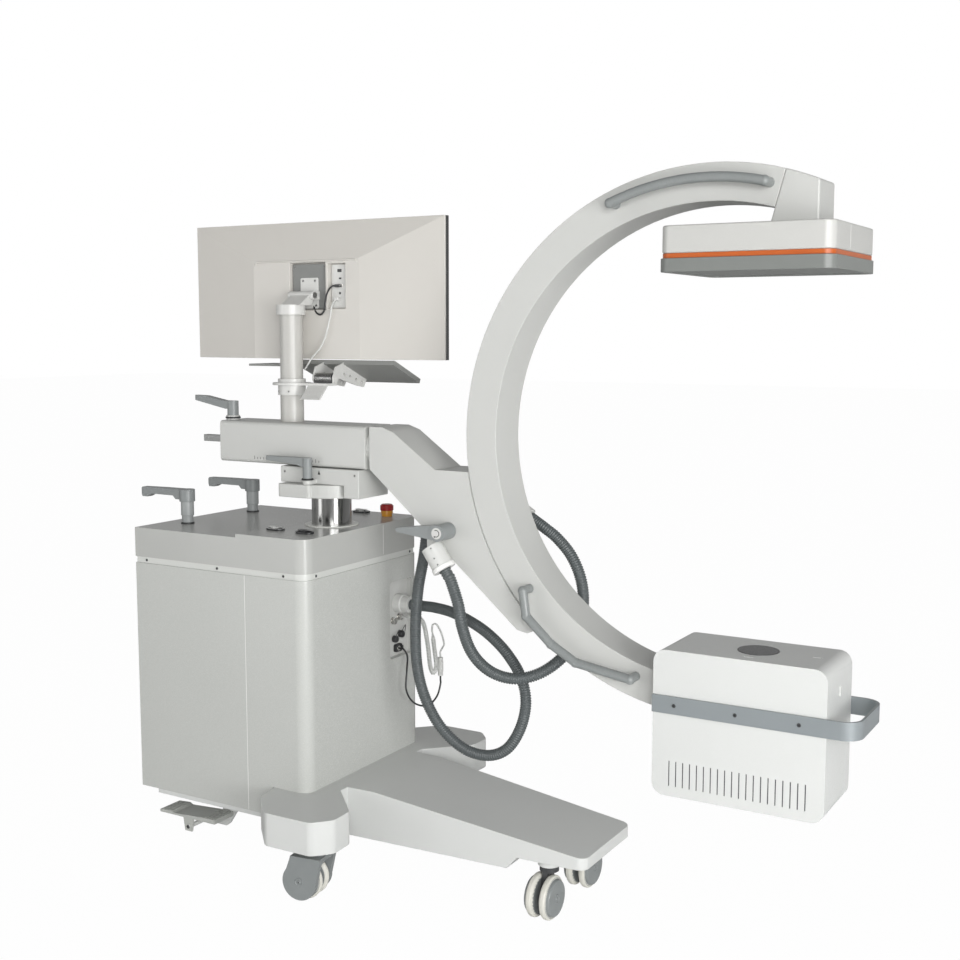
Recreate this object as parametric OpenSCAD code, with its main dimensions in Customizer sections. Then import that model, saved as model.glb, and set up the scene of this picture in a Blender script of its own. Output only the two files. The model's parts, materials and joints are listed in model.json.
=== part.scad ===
/* [Wheels and base] */
// Diameter of a rear caster's tyres
rear_wheel_d = 100; // [80:1:110]
// Width over both wheels of a rear caster
rear_wheel_w = 56; // [50:1:60]
// Diameter of a front caster's tyres
front_wheel_d = 104; // [84:1:106]
// Width over both wheels of a front caster
front_wheel_w = 66; // [56:1:76]
// Distance of the rear casters' swivel axes from the centre line
rear_caster_y = 285; // [270:1:295]
// Distance of the front casters' swivel axes from the centre line
front_caster_y = 80; // [79:1:84]
// Distance of the front casters' swivel axes ahead of the cabinet's front
front_caster_x = 575; // [560:1:590]
// Height of the base's top under the cabinet's front
base_top = 236; // [225:1:250]
// Height of the caster cowls' lower edge
cowl_bottom = 155; // [145:1:165]
// Length of the leg ahead of the cabinet's front
leg_len = 690; // [670:1:720]
// Width of the leg at its front end
leg_w = 260; // [250:1:280]
// Height of the leg's top at its front end
leg_tip_top = 171; // [165:1:185]

/* [Cabinet] */
// Length of the cabinet, front to back
cab_len = 555; // [500:1:600]
// Width of the cabinet
cab_w = 504; // [480:1:520]
// Height of the cabinet's lower edge at the rear
cab_bottom = 162; // [158:1:170]
// Height of the cabinet's upper edge
cab_top = 764; // [720:1:800]
// Height of the top cover's rear part
cover_h = 76; // [60:1:90]
// Width of the groove between the cabinet and its cover
groove_h = 16; // [10:1:24]
// Radius of the cabinet's front corners
cab_corner_r = 34; // [20:1:44]
// Wall of the sheet-metal housings
sheet_t = 4; // [3:0.5:6]

/* [Lift column and carriage] */
// Diameter of the chromed lift column
lift_d = 103; // [96:1:130]
// Travel of the lift column
lift_travel = 400; // [300:10:420]
// Distance of the column's axis behind the cabinet's front
lift_back = 106; // [95:1:125]
// Length of the carriage
car_len = 470; // [450:1:490]
// Width of the carriage
car_w = 120; // [110:1:130]
// Depth of the carriage, top to bottom
car_h = 108; // [100:1:116]
// Height of the carriage's underside above the floor
car_bottom = 1020; // [1016:1:1030]
// Travel of the carriage along its rail
slide_travel = 200; // [100:10:200]

/* [C-arm] */
// Outer radius of the C-shaped arm
c_outer_r = 596; // [588:1:600]
// Radial depth of the C-shaped arm
c_depth = 80; // [70:1:86]
// Width of the C-shaped arm
c_width = 112; // [104:1:120]
// Height of the C-shaped arm's centre above the floor
c_centre_z = 1118; // [1110:1:1126]
// Length of the detector housing
det_len = 361; // [340:1:380]
// Width of the detector housing
det_w = 320; // [300:1:340]
// Height of the detector housing
det_h = 95; // [88:1:104]
// Length of the X-ray tube housing
tank_len = 383; // [370:1:390]
// Width of the X-ray tube housing
tank_w = 194; // [180:1:200]
// Height of the X-ray tube housing
tank_h = 327; // [310:1:335]

/* [Display] */
// Width of the display
disp_w = 808; // [700:1:820]
// Height of the display
disp_h = 357; // [330:1:370]
// Diameter of the display's mast
mast_d = 59; // [52:1:78]

/* [Hoses] */
// Diameter of the corrugated hoses
hose_d = 29; // [27:0.5:31]

/* [Hidden] */
$fn = 48;
arc_fn = 180;
// One overrun for all cuts
cut = 5;
// The smallest step that a face takes
fine = 1;
// Running clearance on a shaft's radius, and the gap between faces that pass
fit = 0.05;
gap = 0.3;

// Corner shares and edge radii
edge_r = 3;
small_r = 8;
cowl_r = 26;

// Places measured from the cabinet's front, forward positive
cab_mid_share = 0.34;
seam_x = -cab_mid_share * cab_len;
seam_w = 1.2;
beam_back_x = -110;
rear_caster_x = 58;
caster_trail = 34;
front_trail = 24;
rear_yaw = 8;
lift_x = -lift_back;
car_nose = 43;
car_back_x = car_nose - car_len;
car_front_x = car_back_x + car_len;
axis_z = car_bottom + car_h / 2;
car_top = car_bottom + car_h;
mast_x = -230;
disp_x = -208;
disp_back_y = 73;
disp_bottom = 1291;
c_left_x = 334;
c_x = c_left_x + c_outer_r;
beam_ahead = 110;
beam_x = c_x + beam_ahead;
tank_ahead = 97;
tank_x = c_x + tank_ahead;
tank_rise = 152;
tank_top = c_centre_z - c_outer_r + tank_rise;
strap_reach = 62;
strap_t = 6;
det_under = 135;
det_rise = c_outer_r - det_under;
det_top = c_centre_z + det_rise;
strap_front_x = tank_x + tank_len / 2 + strap_reach + strap_t;
lever_x = -482;
lever_reach = 160;
mid_x = (strap_front_x + lever_x - lever_reach) / 2;
cover_z = cab_top + groove_h;
cover_top = cover_z + cover_h;
cover_step = 9;
cover_step_x = -215;
front_top = cover_top + cover_step;

// The whole machine stands centred on its own length
module place() { translate([-mid_x, 0, 0]) children(); }

// A convex outline whose corners are rounded by r outside the given points
module rounded(points, r) {
    polygon(points);
    for (i = [0 : len(points) - 1]) {
        a = points[i];
        b = points[(i + 1) % len(points)];
        n = [b[1] - a[1], a[0] - b[0]] * r / norm(b - a);
        translate(a) circle(r = r);
        polygon([a, b, b + n, a + n]);
    }
}
// A rectangle from corner to corner with round corners
module round_rect(x0, x1, y0, y1, r) {
    translate([x0, y0 + r]) square([x1 - x0, y1 - y0 - 2 * r]);
    translate([x0 + r, y0]) square([x1 - x0 - 2 * r, y1 - y0]);
    for (x = [x0 + r, x1 - r]) for (y = [y0 + r, y1 - r]) translate([x, y]) circle(r = r);
}
// Stands an outline drawn in length and height upright, across the machine
module upright(w) { rotate([90, 0, 0]) linear_extrude(w, center = true) children(); }
// Lays an outline drawn across and up along the machine, from x0 to x1
module along(x0, x1) {
    translate([x0, 0, 0]) rotate([90, 0, 90]) linear_extrude(x1 - x0) children();
}
module both_sides() { children(); mirror([0, 1, 0]) children(); }

// Base and casters
cowl_wall = 9;
cowl_shares = [[0.07, 0], [0.084, 0.688], [0.442, 1.053], [0.449, 1.207], [0.365, 1.302],
    [-0.021, 1.305], [-0.246, 1.074]];
cowl_back_share = 0.789;
cowl_points = concat([[beam_back_x + cowl_r, 0]], [for (p = cowl_shares) p * rear_caster_y],
    [[beam_back_x + cowl_r, cowl_back_share * rear_caster_y]]);
leg_root_w = 320;
leg_bottom = 113;
leg_tip_t = 28;
leg_flat_x = 125;
leg_step_x = 491;
leg_ramp = 27;
leg_corner_r = 24;
leg_wall = 9;
rib_shares = [0.34, 0.67];
plate_share = 0.9;
plate_t = 12;
sleeve_t = 8;
sleeve_r = lift_d / 2 + fit;
boss_r = 27;
stem_r = 10;
stem_seat = 8;
fork_head_h = 13;
wheel_gap = 3;
rear_head_top = rear_wheel_d + wheel_gap + fork_head_h;
front_head_top = front_wheel_d + wheel_gap + fork_head_h;
leg_tip_bottom = leg_tip_top - leg_tip_t;

module cowl_outline(r) { both_sides() rounded(cowl_points, r); }
module leg_plan(inset) {
    r = leg_corner_r - inset;
    tip = leg_w / 2 - leg_corner_r;
    root = leg_root_w / 2 - leg_corner_r;
    rounded([[0, -root], [leg_len - leg_corner_r, -tip], [leg_len - leg_corner_r, tip], [0, root]], r);
}
module leg_side(drop, lift) {
    polygon([[-leg_corner_r, leg_bottom + lift], [leg_step_x - lift, leg_bottom + lift],
        [leg_step_x + leg_ramp - lift, leg_tip_bottom + lift], [leg_len, leg_tip_bottom + lift],
        [leg_len, leg_tip_top - drop], [leg_flat_x, base_top - drop], [-leg_corner_r, base_top - drop]]);
}
module leg_solid(inset, lift) {
    intersection() {
        linear_extrude(base_top + cut) leg_plan(inset);
        upright(leg_root_w + 2 * cut) leg_side(inset, lift);
    }
}
// The pedal's bracket hangs from the base plate and carries the pedal's pin
pedal_x = -444;
pedal_z = 50;
pedal_y = -162;
pedal_w = 75;
pedal_back = 101;
pedal_front = 92;
pedal_wall = 5;
hanger_t = 9;
hanger_top_x = -436;
hanger_end_x = -311;
hanger_clear = 52;
hanger_neck_x = -378;
pin_r = 6;
module pedal_hanger() {
    translate([0, pedal_y + pedal_w / 2 + gap + hanger_t / 2, 0]) upright(hanger_t) {
        polygon([[hanger_top_x, cab_bottom - plate_t + fine], [hanger_top_x, pedal_z + hanger_clear],
            [hanger_neck_x - 2 * pin_r, pedal_z + hanger_clear], [hanger_neck_x - 2 * pin_r, pedal_z + pin_r],
            [pedal_x, pedal_z + 1.6 * pin_r], [pedal_x, pedal_z - 1.6 * pin_r],
            [hanger_neck_x, pedal_z - 1.6 * pin_r], [hanger_neck_x + 2 * pin_r, pedal_z],
            [hanger_end_x, pedal_z + 1.6 * hanger_clear], [hanger_end_x, cab_bottom - plate_t + fine]]);
        translate([pedal_x, pedal_z]) circle(r = 1.6 * pin_r);
    }
    translate([pedal_x, pedal_y - pedal_w / 2 - fine, pedal_z]) rotate([-90, 0, 0])
        cylinder(h = pedal_w + hanger_t, r = pin_r);
}
module caster_boss(x, y, z0, z1) { translate([x, y, z0]) cylinder(h = z1 - z0, r = boss_r); }
module caster_bore(x, y, z0, z1) {
    translate([x, y, z0 - cut]) cylinder(h = z1 - z0 + cut, r = stem_r + fit);
}
module base_frame() color("gainsboro") place() {
    difference() {
        union() {
            difference() {
                translate([0, 0, cowl_bottom]) linear_extrude(base_top - cowl_bottom) cowl_outline(cowl_r);
                translate([0, 0, cowl_bottom - cut])
                    linear_extrude(base_top - cowl_bottom - cowl_wall + cut)
                        difference() {
                            cowl_outline(cowl_r - cowl_wall);
                            square([3 * cab_len, cab_w - 4 * cowl_wall], center = true);
                        }
            }
            difference() {
                leg_solid(0, 0);
                // the leg is a casting, open underneath, with two cross ribs
                difference() {
                    intersection() {
                        leg_solid(leg_wall, -cut);
                        translate([leg_wall, -leg_w, 0]) cube([leg_step_x - 2 * leg_wall, 2 * leg_w, base_top]);
                    }
                    for (s = rib_shares) translate([leg_step_x * s, -leg_w, 0])
                        cube([leg_wall, 2 * leg_w, base_top + cut]);
                }
            }
            translate([-plate_share * cab_len, -cab_w / 2 + sheet_t / 2, cab_bottom - plate_t])
                cube([plate_share * cab_len + beam_back_x + cowl_r, cab_w - sheet_t, plate_t]);
            pedal_hanger();
            both_sides() caster_boss(rear_caster_x, rear_caster_y, rear_head_top + gap, base_top - cowl_wall / 2);
            both_sides() caster_boss(front_caster_x, front_caster_y, front_head_top + gap, leg_tip_bottom + fine);
        }
        both_sides() caster_bore(rear_caster_x, rear_caster_y, rear_head_top + gap, base_top - 2 * cowl_wall);
        both_sides() caster_bore(front_caster_x, front_caster_y, front_head_top + gap, leg_tip_top - stem_seat);
        translate([lift_x, 0, cab_bottom]) cylinder(h = base_top, r = sleeve_r + sleeve_t + gap);
    }
}

web_t = 14;
stem_gap = 1;
axle_r = 6;
disc_share = 0.42;
cap_share = 0.12;
swivel_r = 23;
// A twin-wheel caster's fork, its swivel axis at the origin and its wheel trailing backward
module fork(d, head_top, bore_top, trail, w) {
    head = fork_head_h;
    color("dimgray") difference() {
        union() {
            translate([0, 0, head_top - head]) cylinder(h = head, r = swivel_r);
            translate([0, 0, head_top - head]) cylinder(h = bore_top - head_top + head, r = stem_r);
            upright(web_t) {
                translate([-trail, d / 2]) circle(r = 2.4 * axle_r);
                polygon([[-trail - 2 * axle_r, d / 2], [-trail + 2 * axle_r, d / 2],
                    [swivel_r - edge_r, head_top - head], [swivel_r - edge_r, head_top - edge_r],
                    [-swivel_r, head_top - edge_r], [-swivel_r, head_top - head]]);
            }
            // a shielded caster has a cheek outside each wheel and a bridge over both
            if (w > 0) {
                for (y = [w / 2 + gap + cheek_t / 2, -w / 2 - gap - cheek_t / 2]) translate([0, y, 0]) upright(cheek_t) {
                    translate([-trail, d / 2]) circle(r = cheek_share * d / 2);
                    polygon([[-trail - cheek_share * d / 2, d / 2], [-trail + cheek_share * d / 2, d / 2],
                        [swivel_r, head_top - head], [swivel_r, head_top - edge_r],
                        [-trail - swivel_r, head_top - edge_r], [-trail - swivel_r - edge_r, head_top - head]]);
                }
                translate([-trail - swivel_r, -w / 2 - cheek_t, head_top - head])
                    cube([trail + 2 * swivel_r, w + 2 * cheek_t, head - edge_r]);
            }
        }
        translate([-trail, 0, d / 2]) rotate([90, 0, 0])
            cylinder(h = 2 * web_t, r = axle_r + fit, center = true);
    }
}
cheek_t = 14;
cheek_share = 0.9;
module wheels(d, w, trail) {
    inner = web_t / 2 + gap;
    disc = disc_share * d;
    cap = w * cap_share;
    half = [[axle_r, inner], [disc, inner], [d / 2 - edge_r, inner + edge_r], [d / 2, inner + 2 * edge_r],
        [d / 2, w / 2 - cap - edge_r], [d / 2 - edge_r, w / 2 - cap], [disc, w / 2 - cap],
        [disc - fine, w / 2 - fine], [disc - edge_r, w / 2]];
    color("lightgray") translate([-trail, 0, d / 2]) rotate([90, 0, 0]) rotate_extrude()
        polygon(concat([[0, w / 2]], [for (i = [len(half) - 1 : -1 : 0]) half[i]],
            [for (p = half) [p[0], -p[1]]], [[0, -w / 2]]));
}
module at_rear(side) {
    place() translate([rear_caster_x, side * rear_caster_y, 0]) rotate([0, 0, rear_yaw]) children();
}
module at_front(side) {
    place() translate([front_caster_x, side * front_caster_y, 0]) rotate([0, 0, -side * 90]) children();
}
module rear_fork() {
    fork(rear_wheel_d, rear_head_top, base_top - 2 * cowl_wall - stem_gap, caster_trail, rear_wheel_w);
}
module front_fork() { fork(front_wheel_d, front_head_top, leg_tip_top - stem_seat - stem_gap, front_trail, 0); }
module fork_rear_right() { at_rear(-1) rear_fork(); }
module fork_rear_left() { at_rear(1) rear_fork(); }
module fork_front_right() { at_front(-1) front_fork(); }
module fork_front_left() { at_front(1) front_fork(); }
module wheel_rear_right() { at_rear(-1) wheels(rear_wheel_d, rear_wheel_w, caster_trail); }
module wheel_rear_left() { at_rear(1) wheels(rear_wheel_d, rear_wheel_w, caster_trail); }
module wheel_front_right() { at_front(-1) wheels(front_wheel_d, front_wheel_w, front_trail); }
module wheel_front_left() { at_front(1) wheels(front_wheel_d, front_wheel_w, front_trail); }

// Cabinet
recess_w = 106;
recess_side = 38;
recess_y = cab_w / 2 - recess_w - recess_side;
recess_z = 494;
recess_h = 208;
recess_depth = 16;
recess_r = 10;
module cab_outline(inset) {
    r = cab_corner_r;
    translate([-cab_len + inset, -cab_w / 2 + inset]) square([cab_len - r, cab_w - 2 * inset]);
    round_rect(-cab_len / 2, -inset, -cab_w / 2 + inset, cab_w / 2 - inset, r - inset);
}
module cab_shell(z0, z1) {
    translate([0, 0, z0]) linear_extrude(z1 - z0) difference() {
        cab_outline(0);
        cab_outline(sheet_t);
    }
}
module slab(x0, x1, z0, z1) { translate([x0, -cab_w, z0]) cube([x1 - x0, 2 * cab_w, z1 - z0]); }
module cabinet_rear() color("gainsboro") place() intersection() {
    cab_shell(cab_bottom, cab_top);
    slab(-cab_len - cut, seam_x - seam_w / 2, cab_bottom, cab_top);
}
module recess_hole(grow) {
    along(-sheet_t - cut, cut)
        round_rect(recess_y - grow, recess_y + recess_w + grow, recess_z - grow, recess_z + recess_h + grow,
            recess_r + grow);
}
module cabinet_front() color("whitesmoke") place() difference() {
    intersection() {
        cab_shell(cab_bottom, cab_top);
        slab(seam_x + seam_w / 2, cut, cab_bottom, cab_top);
    }
    slab(beam_back_x - gap, 2 * cut, cab_bottom - cut, base_top);
    recess_hole(0);
}
band_inset = 3;
deck_t = 3;
screw_r = 4;
screw_head = 2;
screw_x_shares = [-0.93, -0.5, -0.12];
screw_y_share = 0.41;
module cover_band() color("silver") place() {
    difference() {
        union() {
            translate([0, 0, cab_top]) linear_extrude(groove_h) difference() {
                cab_outline(band_inset);
                cab_outline(band_inset + 2 * sheet_t);
            }
            translate([0, 0, cab_top]) linear_extrude(deck_t) cab_outline(band_inset + sheet_t);
        }
        translate([lift_x, 0, cab_top - cut]) cylinder(h = groove_h + 2 * cut, r = sleeve_r + sleeve_t + gap);
    }
    for (s = screw_x_shares) both_sides()
        translate([s * cab_len, cab_w / 2 - band_inset - fine, cab_top + groove_h / 2])
            rotate([-90, 0, 0]) cylinder(h = screw_head + fine, r = screw_r);
    both_sides() translate([-band_inset - fine, screw_y_share * cab_w, cab_top + groove_h / 2])
        rotate([0, 90, 0]) cylinder(h = screw_head + fine, r = screw_r);
}
ring_w = 18;
ring_t = 3;
module top_cover() color("whitesmoke") place() difference() {
    translate([0, 0, cover_z]) union() {
        linear_extrude(cover_h) cab_outline(0);
        intersection() {
            linear_extrude(cover_h + cover_step) cab_outline(0);
            slab(cover_step_x, cut, 0, cover_h + cover_step + cut);
        }
    }
    translate([0, 0, cover_z - cut]) linear_extrude(cover_h - sheet_t + cut) cab_outline(sheet_t);
    translate([lift_x, 0, cover_z]) cylinder(h = cover_h + cover_step + cut, r = sleeve_r + sleeve_t + gap);
    both_sides() translate([lever_x, lever_y, cover_z]) cylinder(h = cover_h + cut, r = lever_foot_r + gap);
    translate([estop_x, estop_y, cover_z]) cylinder(h = cover_h + cover_step + cut, r = estop_hole_r);
}
module column_sleeve() color("silver") place() translate([lift_x, 0, 0]) difference() {
    union() {
        translate([0, 0, cab_bottom]) cylinder(h = front_top - cab_bottom, r = sleeve_r + sleeve_t);
        translate([0, 0, front_top]) cylinder(h = ring_t, r = sleeve_r + ring_w);
    }
    translate([0, 0, cab_bottom - cut]) cylinder(h = front_top, r = sleeve_r);
}
back_t = 2;
jack_r = 7;
jack_len = 12;
jack_y_shares = [0.33, 0.6, 0.36, 0.64, 0.48];
jack_z_shares = [0.47, 0.5, 0.23, 0.27, 0.1];
module panel_outline(grow) {
    round_rect(recess_y - grow, recess_y + recess_w + grow, recess_z - grow, recess_z + recess_h + grow,
        recess_r + grow);
}
module connector_panel() color("silver") place() {
    difference() {
        along(-recess_depth - back_t, -sheet_t) panel_outline(back_t);
        along(-recess_depth, cut) panel_outline(0);
    }
    for (i = [0 : len(jack_y_shares) - 1])
        translate([-recess_depth - fine, recess_y + jack_y_shares[i] * recess_w,
            recess_z + jack_z_shares[i] * recess_h])
            rotate([0, 90, 0]) cylinder(h = jack_len, r = jack_r);
}
gland_in = 57;
gland_y = recess_y + gland_in;
gland_z = 637;
gland_r = 22;
gland_len = 46;
module hose_gland() color("whitesmoke") place() translate([-recess_depth, gland_y, gland_z]) rotate([0, 90, 0]) {
    cylinder(h = gland_len, r = gland_r);
    cylinder(h = gland_len / 2, r = gland_r + edge_r);
}

// Controls on the cover
switch_w = 40;
switch_d = 20;
switch_wall = 5;
switch_h = 5;
switch_x = -170;
switch_right_in = 102;
switch_right_y = switch_right_in - cab_w / 2;
switch_left_in = 30;
switch_left_y = cab_w / 2 - switch_left_in;
rocker_x = -70;
rocker_in = 92;
rocker_y = rocker_in - cab_w / 2;
estop_x = -68;
estop_in = 55;
estop_y = cab_w / 2 - estop_in;
estop_ring_r = 14.5;
estop_ring_h = 9;
estop_stem_r = 5;
estop_hole_r = estop_stem_r + 2 * fine;
estop_cap_r = 18;
estop_cap_h = 17;
estop_travel = 6;
module oblong(w, d) { round_rect(-w / 2, w / 2, -d / 2, d / 2, d / 2 - fine); }
module bezel(x, y) {
    translate([x, y, front_top]) difference() {
        linear_extrude(switch_h) oblong(switch_w + 2 * switch_wall, switch_d + 2 * switch_wall);
        translate([0, 0, fine]) linear_extrude(switch_h) oblong(switch_w, switch_d);
    }
}
module control_bezels() color("gainsboro") place() {
    bezel(switch_x, switch_right_y);
    bezel(switch_x, switch_left_y);
    bezel(rocker_x, rocker_y);
    translate([estop_x, estop_y, front_top]) difference() {
        cylinder(h = estop_ring_h, r = estop_ring_r);
        translate([0, 0, -cut]) cylinder(h = estop_ring_h + 2 * cut, r = estop_stem_r + fit);
    }
}
// A rocker rolls on the round of its own underside
rocker_gap = 1.2;
rocker_h = 8;
module rocker(x, y, len) {
    w = switch_w - 2 * rocker_gap;
    d = switch_d - 2 * rocker_gap;
    r = rocker_h - switch_h + fine;
    color("darkorange") place() translate([x, y, front_top + fine + gap]) {
        intersection() {
            translate([0, 0, r + fine]) linear_extrude(rocker_h - r - gap) oblong(w, d);
            upright(d) polygon([[-w / 2, rocker_h], [-r, r], [r, r], [w / 2, rocker_h], [0, rocker_h - fine]]);
        }
        translate([0, 0, r]) rotate([90, 0, 0]) cylinder(h = d - switch_wall, r = r, center = true);
    }
}
module lift_switch_right() { rocker(switch_x, switch_right_y, switch_w); }
module lift_switch_left() { rocker(switch_x, switch_left_y, switch_w); }
module power_rocker() { rocker(rocker_x, rocker_y, switch_w); }
module estop_stem() color("silver") place() translate([estop_x, estop_y, front_top - 2 * estop_travel])
    cylinder(h = estop_ring_h + 3 * estop_travel + fine + estop_cap_h / 2, r = estop_stem_r);
module estop_cap() color("red") place()
    translate([estop_x, estop_y, front_top + estop_ring_h + estop_travel + fine]) difference() {
        union() {
            cylinder(h = estop_cap_h - edge_r, r = estop_cap_r);
            cylinder(h = estop_cap_h, r = estop_cap_r - edge_r);
        }
        translate([0, 0, -cut]) cylinder(h = estop_cap_h / 2 + cut, r = estop_stem_r + fit);
    }

// Brake and steering levers on their posts
lever_side_gap = 120;
lever_y = cab_w / 2 - lever_side_gap;
lever_post_r = 17;
lever_foot_r = 15;
lever_foot_h = 22;
lever_post_h = 37;
lever_hub_r = 20.5;
lever_hub_h = 32;
lever_pin_r = 8;
lever_w = 30;
lever_tip_w = 20;
lever_t = 18;
lever_droop = 9;
bore_share = 0.75;
lever_seat = cover_top + lever_foot_h + lever_post_h;
module lever_posts() color("dimgray") place() both_sides() translate([lever_x, lever_y, cover_z]) {
    cylinder(h = cover_h + lever_foot_h, r = lever_foot_r);
    translate([0, 0, cover_h + lever_foot_h]) cylinder(h = lever_post_h, r = lever_post_r);
    translate([0, 0, cover_h + lever_foot_h]) cylinder(h = lever_post_h + bore_share * lever_hub_h, r = lever_pin_r);
}
// A hand lever: a hub and a tapered arm that reaches back, its side view given as a child
module hand_lever(hub_r, hub_h, reach, root_w, tip_w, bore_r) {
    difference() {
        union() {
            cylinder(h = hub_h, r = hub_r);
            intersection() {
                translate([0, 0, -hub_h]) linear_extrude(3 * hub_h) {
                    polygon([[0, -root_w / 2], [0, root_w / 2], [tip_w / 2 - reach, tip_w / 2],
                        [tip_w / 2 - reach, -tip_w / 2]]);
                    translate([tip_w / 2 - reach, 0]) circle(r = tip_w / 2);
                }
                upright(root_w + cut) children();
            }
        }
        translate([0, 0, -cut]) cylinder(h = bore_share * hub_h + fine + cut, r = bore_r);
    }
}
module lever_side(h, reach, t, droop) {
    polygon([[0, h], [0, h - t - droop], [-lever_hub_r - droop, h - t - droop],
        [-lever_hub_r - 2 * droop, h - t], [-0.72 * reach, h - t], [-0.84 * reach, h - t - droop],
        [-0.95 * reach, h - t - droop], [-reach, h - 0.8 * t], [-reach, h - 0.4 * t],
        [-0.95 * reach, h - fine], [-0.5 * reach, h]]);
}
module lever_at(side) {
    place() translate([lever_x, side * lever_y, lever_seat + gap])
        hand_lever(lever_hub_r, lever_hub_h, lever_reach, lever_w, lever_tip_w, lever_pin_r + fit)
            lever_side(lever_hub_h, lever_reach, lever_t, lever_droop);
}
module brake_lever() color("dimgray") lever_at(-1);
module steer_lever() color("dimgray") lever_at(1);
module foot_pedal() color("dimgray") place() translate([pedal_x, pedal_y, pedal_z]) difference() {
    union() {
        upright(pedal_w) polygon([[-pedal_back, 0.46 * pedal_z], [pedal_front, 0.46 * pedal_z],
            [pedal_front, 0.7 * pedal_z], [0.6 * pedal_front, 0.7 * pedal_z], [-pedal_back / 2, 0.56 * pedal_z],
            [-0.6 * pedal_back, 0.66 * pedal_z], [-pedal_back, 0.6 * pedal_z]]);
        upright(pedal_w) polygon([[-3 * pin_r, 0.5 * pedal_z], [-2 * pin_r, -2 * pin_r], [2 * pin_r, -2 * pin_r],
            [3 * pin_r, 0.5 * pedal_z]]);
    }
    translate([-pedal_back, -pedal_w / 2 + pedal_wall, -pedal_z])
        cube([pedal_back + 2 * pedal_front, pedal_w - 2 * pedal_wall, pedal_z + 0.46 * pedal_z]);
    rotate([90, 0, 0]) cylinder(h = 2 * pedal_w, r = pin_r + fit, center = true);
}

// Lift column, panning block
column_bottom = 200;
column_top = 942;
column_wall = 6;
pan_plate_t = 34;
pan_disc_r = 86;
pan_plate_back = 100;
pan_plate_w = 192;
pan_pin_r = 30;
pan_pin_h = 30;
pan_x0 = -220;
pan_x1 = 27;
pan_nose = 0;
pan_w = 130;
rail_gap = 2;
rail_stem = 32;
rail_head = 52;
rail_stem_h = 9;
rail_head_h = 9;
rail_x0 = -210;
rail_x1 = 22;
pan_seat = column_top + pan_plate_t + gap;
pan_top = car_bottom - rail_gap;
lug_x = -118;
lug_y = -84;
lug_r = 13;
lug_t = 12;
small_pin_r = 5;
module lift_column() color("silver") place() translate([lift_x, 0, column_bottom]) difference() {
    cylinder(h = column_top - column_bottom, r = lift_d / 2);
    translate([0, 0, -cut]) cylinder(h = column_top - column_bottom + 2 * cut, r = lift_d / 2 - column_wall);
}
module pan_plate() color("gainsboro") place() translate([lift_x, 0, column_top]) {
    linear_extrude(pan_plate_t) {
        circle(r = pan_disc_r);
        round_rect(-pan_plate_back, fine, -pan_plate_w / 2, pan_plate_w / 2, small_r);
    }
    cylinder(h = pan_plate_t + pan_pin_h, r = pan_pin_r);
}
module pan_block() color("gainsboro") place() difference() {
    union() {
        difference() {
            upright(pan_w) polygon([[pan_x0, pan_seat], [lift_x + pan_disc_r, pan_seat],
                [lift_x + pan_disc_r, column_top + edge_r], [pan_x1 + pan_nose, column_top + edge_r],
                [pan_x1, pan_top], [pan_x0, pan_top]]);
            translate([lift_x, 0, column_top]) cylinder(h = pan_plate_t + gap, r = pan_disc_r + fine);
        }
        translate([rail_x0, -rail_stem / 2, pan_top - fine])
            cube([rail_x1 - rail_x0, rail_stem, rail_stem_h + 2 * fine]);
        translate([rail_x0, -rail_head / 2, pan_top + rail_stem_h])
            cube([rail_x1 - rail_x0, rail_head, rail_head_h]);
        // the lug beside the block carries the panning lock
        translate([lug_x, lug_y, pan_seat]) cylinder(h = lug_t, r = lug_r);
        translate([lug_x - lug_r, lug_y, pan_seat]) cube([2 * lug_r, -lug_y - pan_w / 2 + cut, lug_t]);
        translate([lug_x, lug_y, pan_seat]) cylinder(h = lug_t + bore_share * lock_h, r = small_pin_r);
    }
    translate([lift_x, 0, pan_seat - cut]) cylinder(h = pan_pin_h + cut + gap, r = pan_pin_r + fit);
}
lock_h = 56;
lock_hub_r = 12;
lock_reach = 132;
lock_w = 18;
lock_tip_w = 13;
lock_t = 18;
module pan_lock() color("dimgray") place() translate([lug_x, lug_y, pan_seat + lug_t + gap])
    hand_lever(lock_hub_r, lock_h, lock_reach, lock_w, lock_tip_w, small_pin_r + fit)
        polygon([[0, lock_h], [0, lock_h - 1.4 * lock_t], [-0.25 * lock_reach, lock_h - lock_t],
            [-lock_reach, lock_h - 0.6 * lock_t], [-lock_reach, lock_h], [-lock_hub_r, lock_h]]);

// Carriage
car_edge_r = 10;
slot_x0 = -415;
slot_x1 = 33;
slot_mouth = rail_stem + fine;
slot_head = rail_head + fine;
slot_lip = 6.5;
slot_h = pan_top + rail_stem_h + rail_head_h + gap - car_bottom;
spigot_r = 34;
spigot_len = 60;
bar_w = 18;
bar_len = 104;
slide_lock_x = -415;
slide_lock_y = -20;
slide_hub_r = 15;
slide_lock_h = 38;
slide_washer_h = 12;
slide_reach = 130;
slide_rise = 13;
module car_outline() {
    round_rect(-car_w / 2, car_w / 2, car_bottom, car_top, car_edge_r);
}
module carriage_box() color("gainsboro") place() {
    difference() {
        along(car_back_x, car_front_x) car_outline();
        translate([slot_x0, -slot_mouth / 2, car_bottom - cut])
            cube([slot_x1 - slot_x0, slot_mouth, slot_lip + 2 * cut]);
        translate([slot_x0, -slot_head / 2, car_bottom + slot_lip])
            cube([slot_x1 - slot_x0, slot_head, slot_h - slot_lip]);
        translate([car_front_x - spigot_len, 0, axis_z]) rotate([0, 90, 0])
            cylinder(h = spigot_len + cut, r = spigot_r + fit);
    }
    translate([slide_lock_x, slide_lock_y, car_top]) {
        cylinder(h = slide_washer_h, r = slide_hub_r + edge_r);
        cylinder(h = slide_washer_h + bore_share * slide_lock_h, r = small_pin_r);
    }
}
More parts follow.
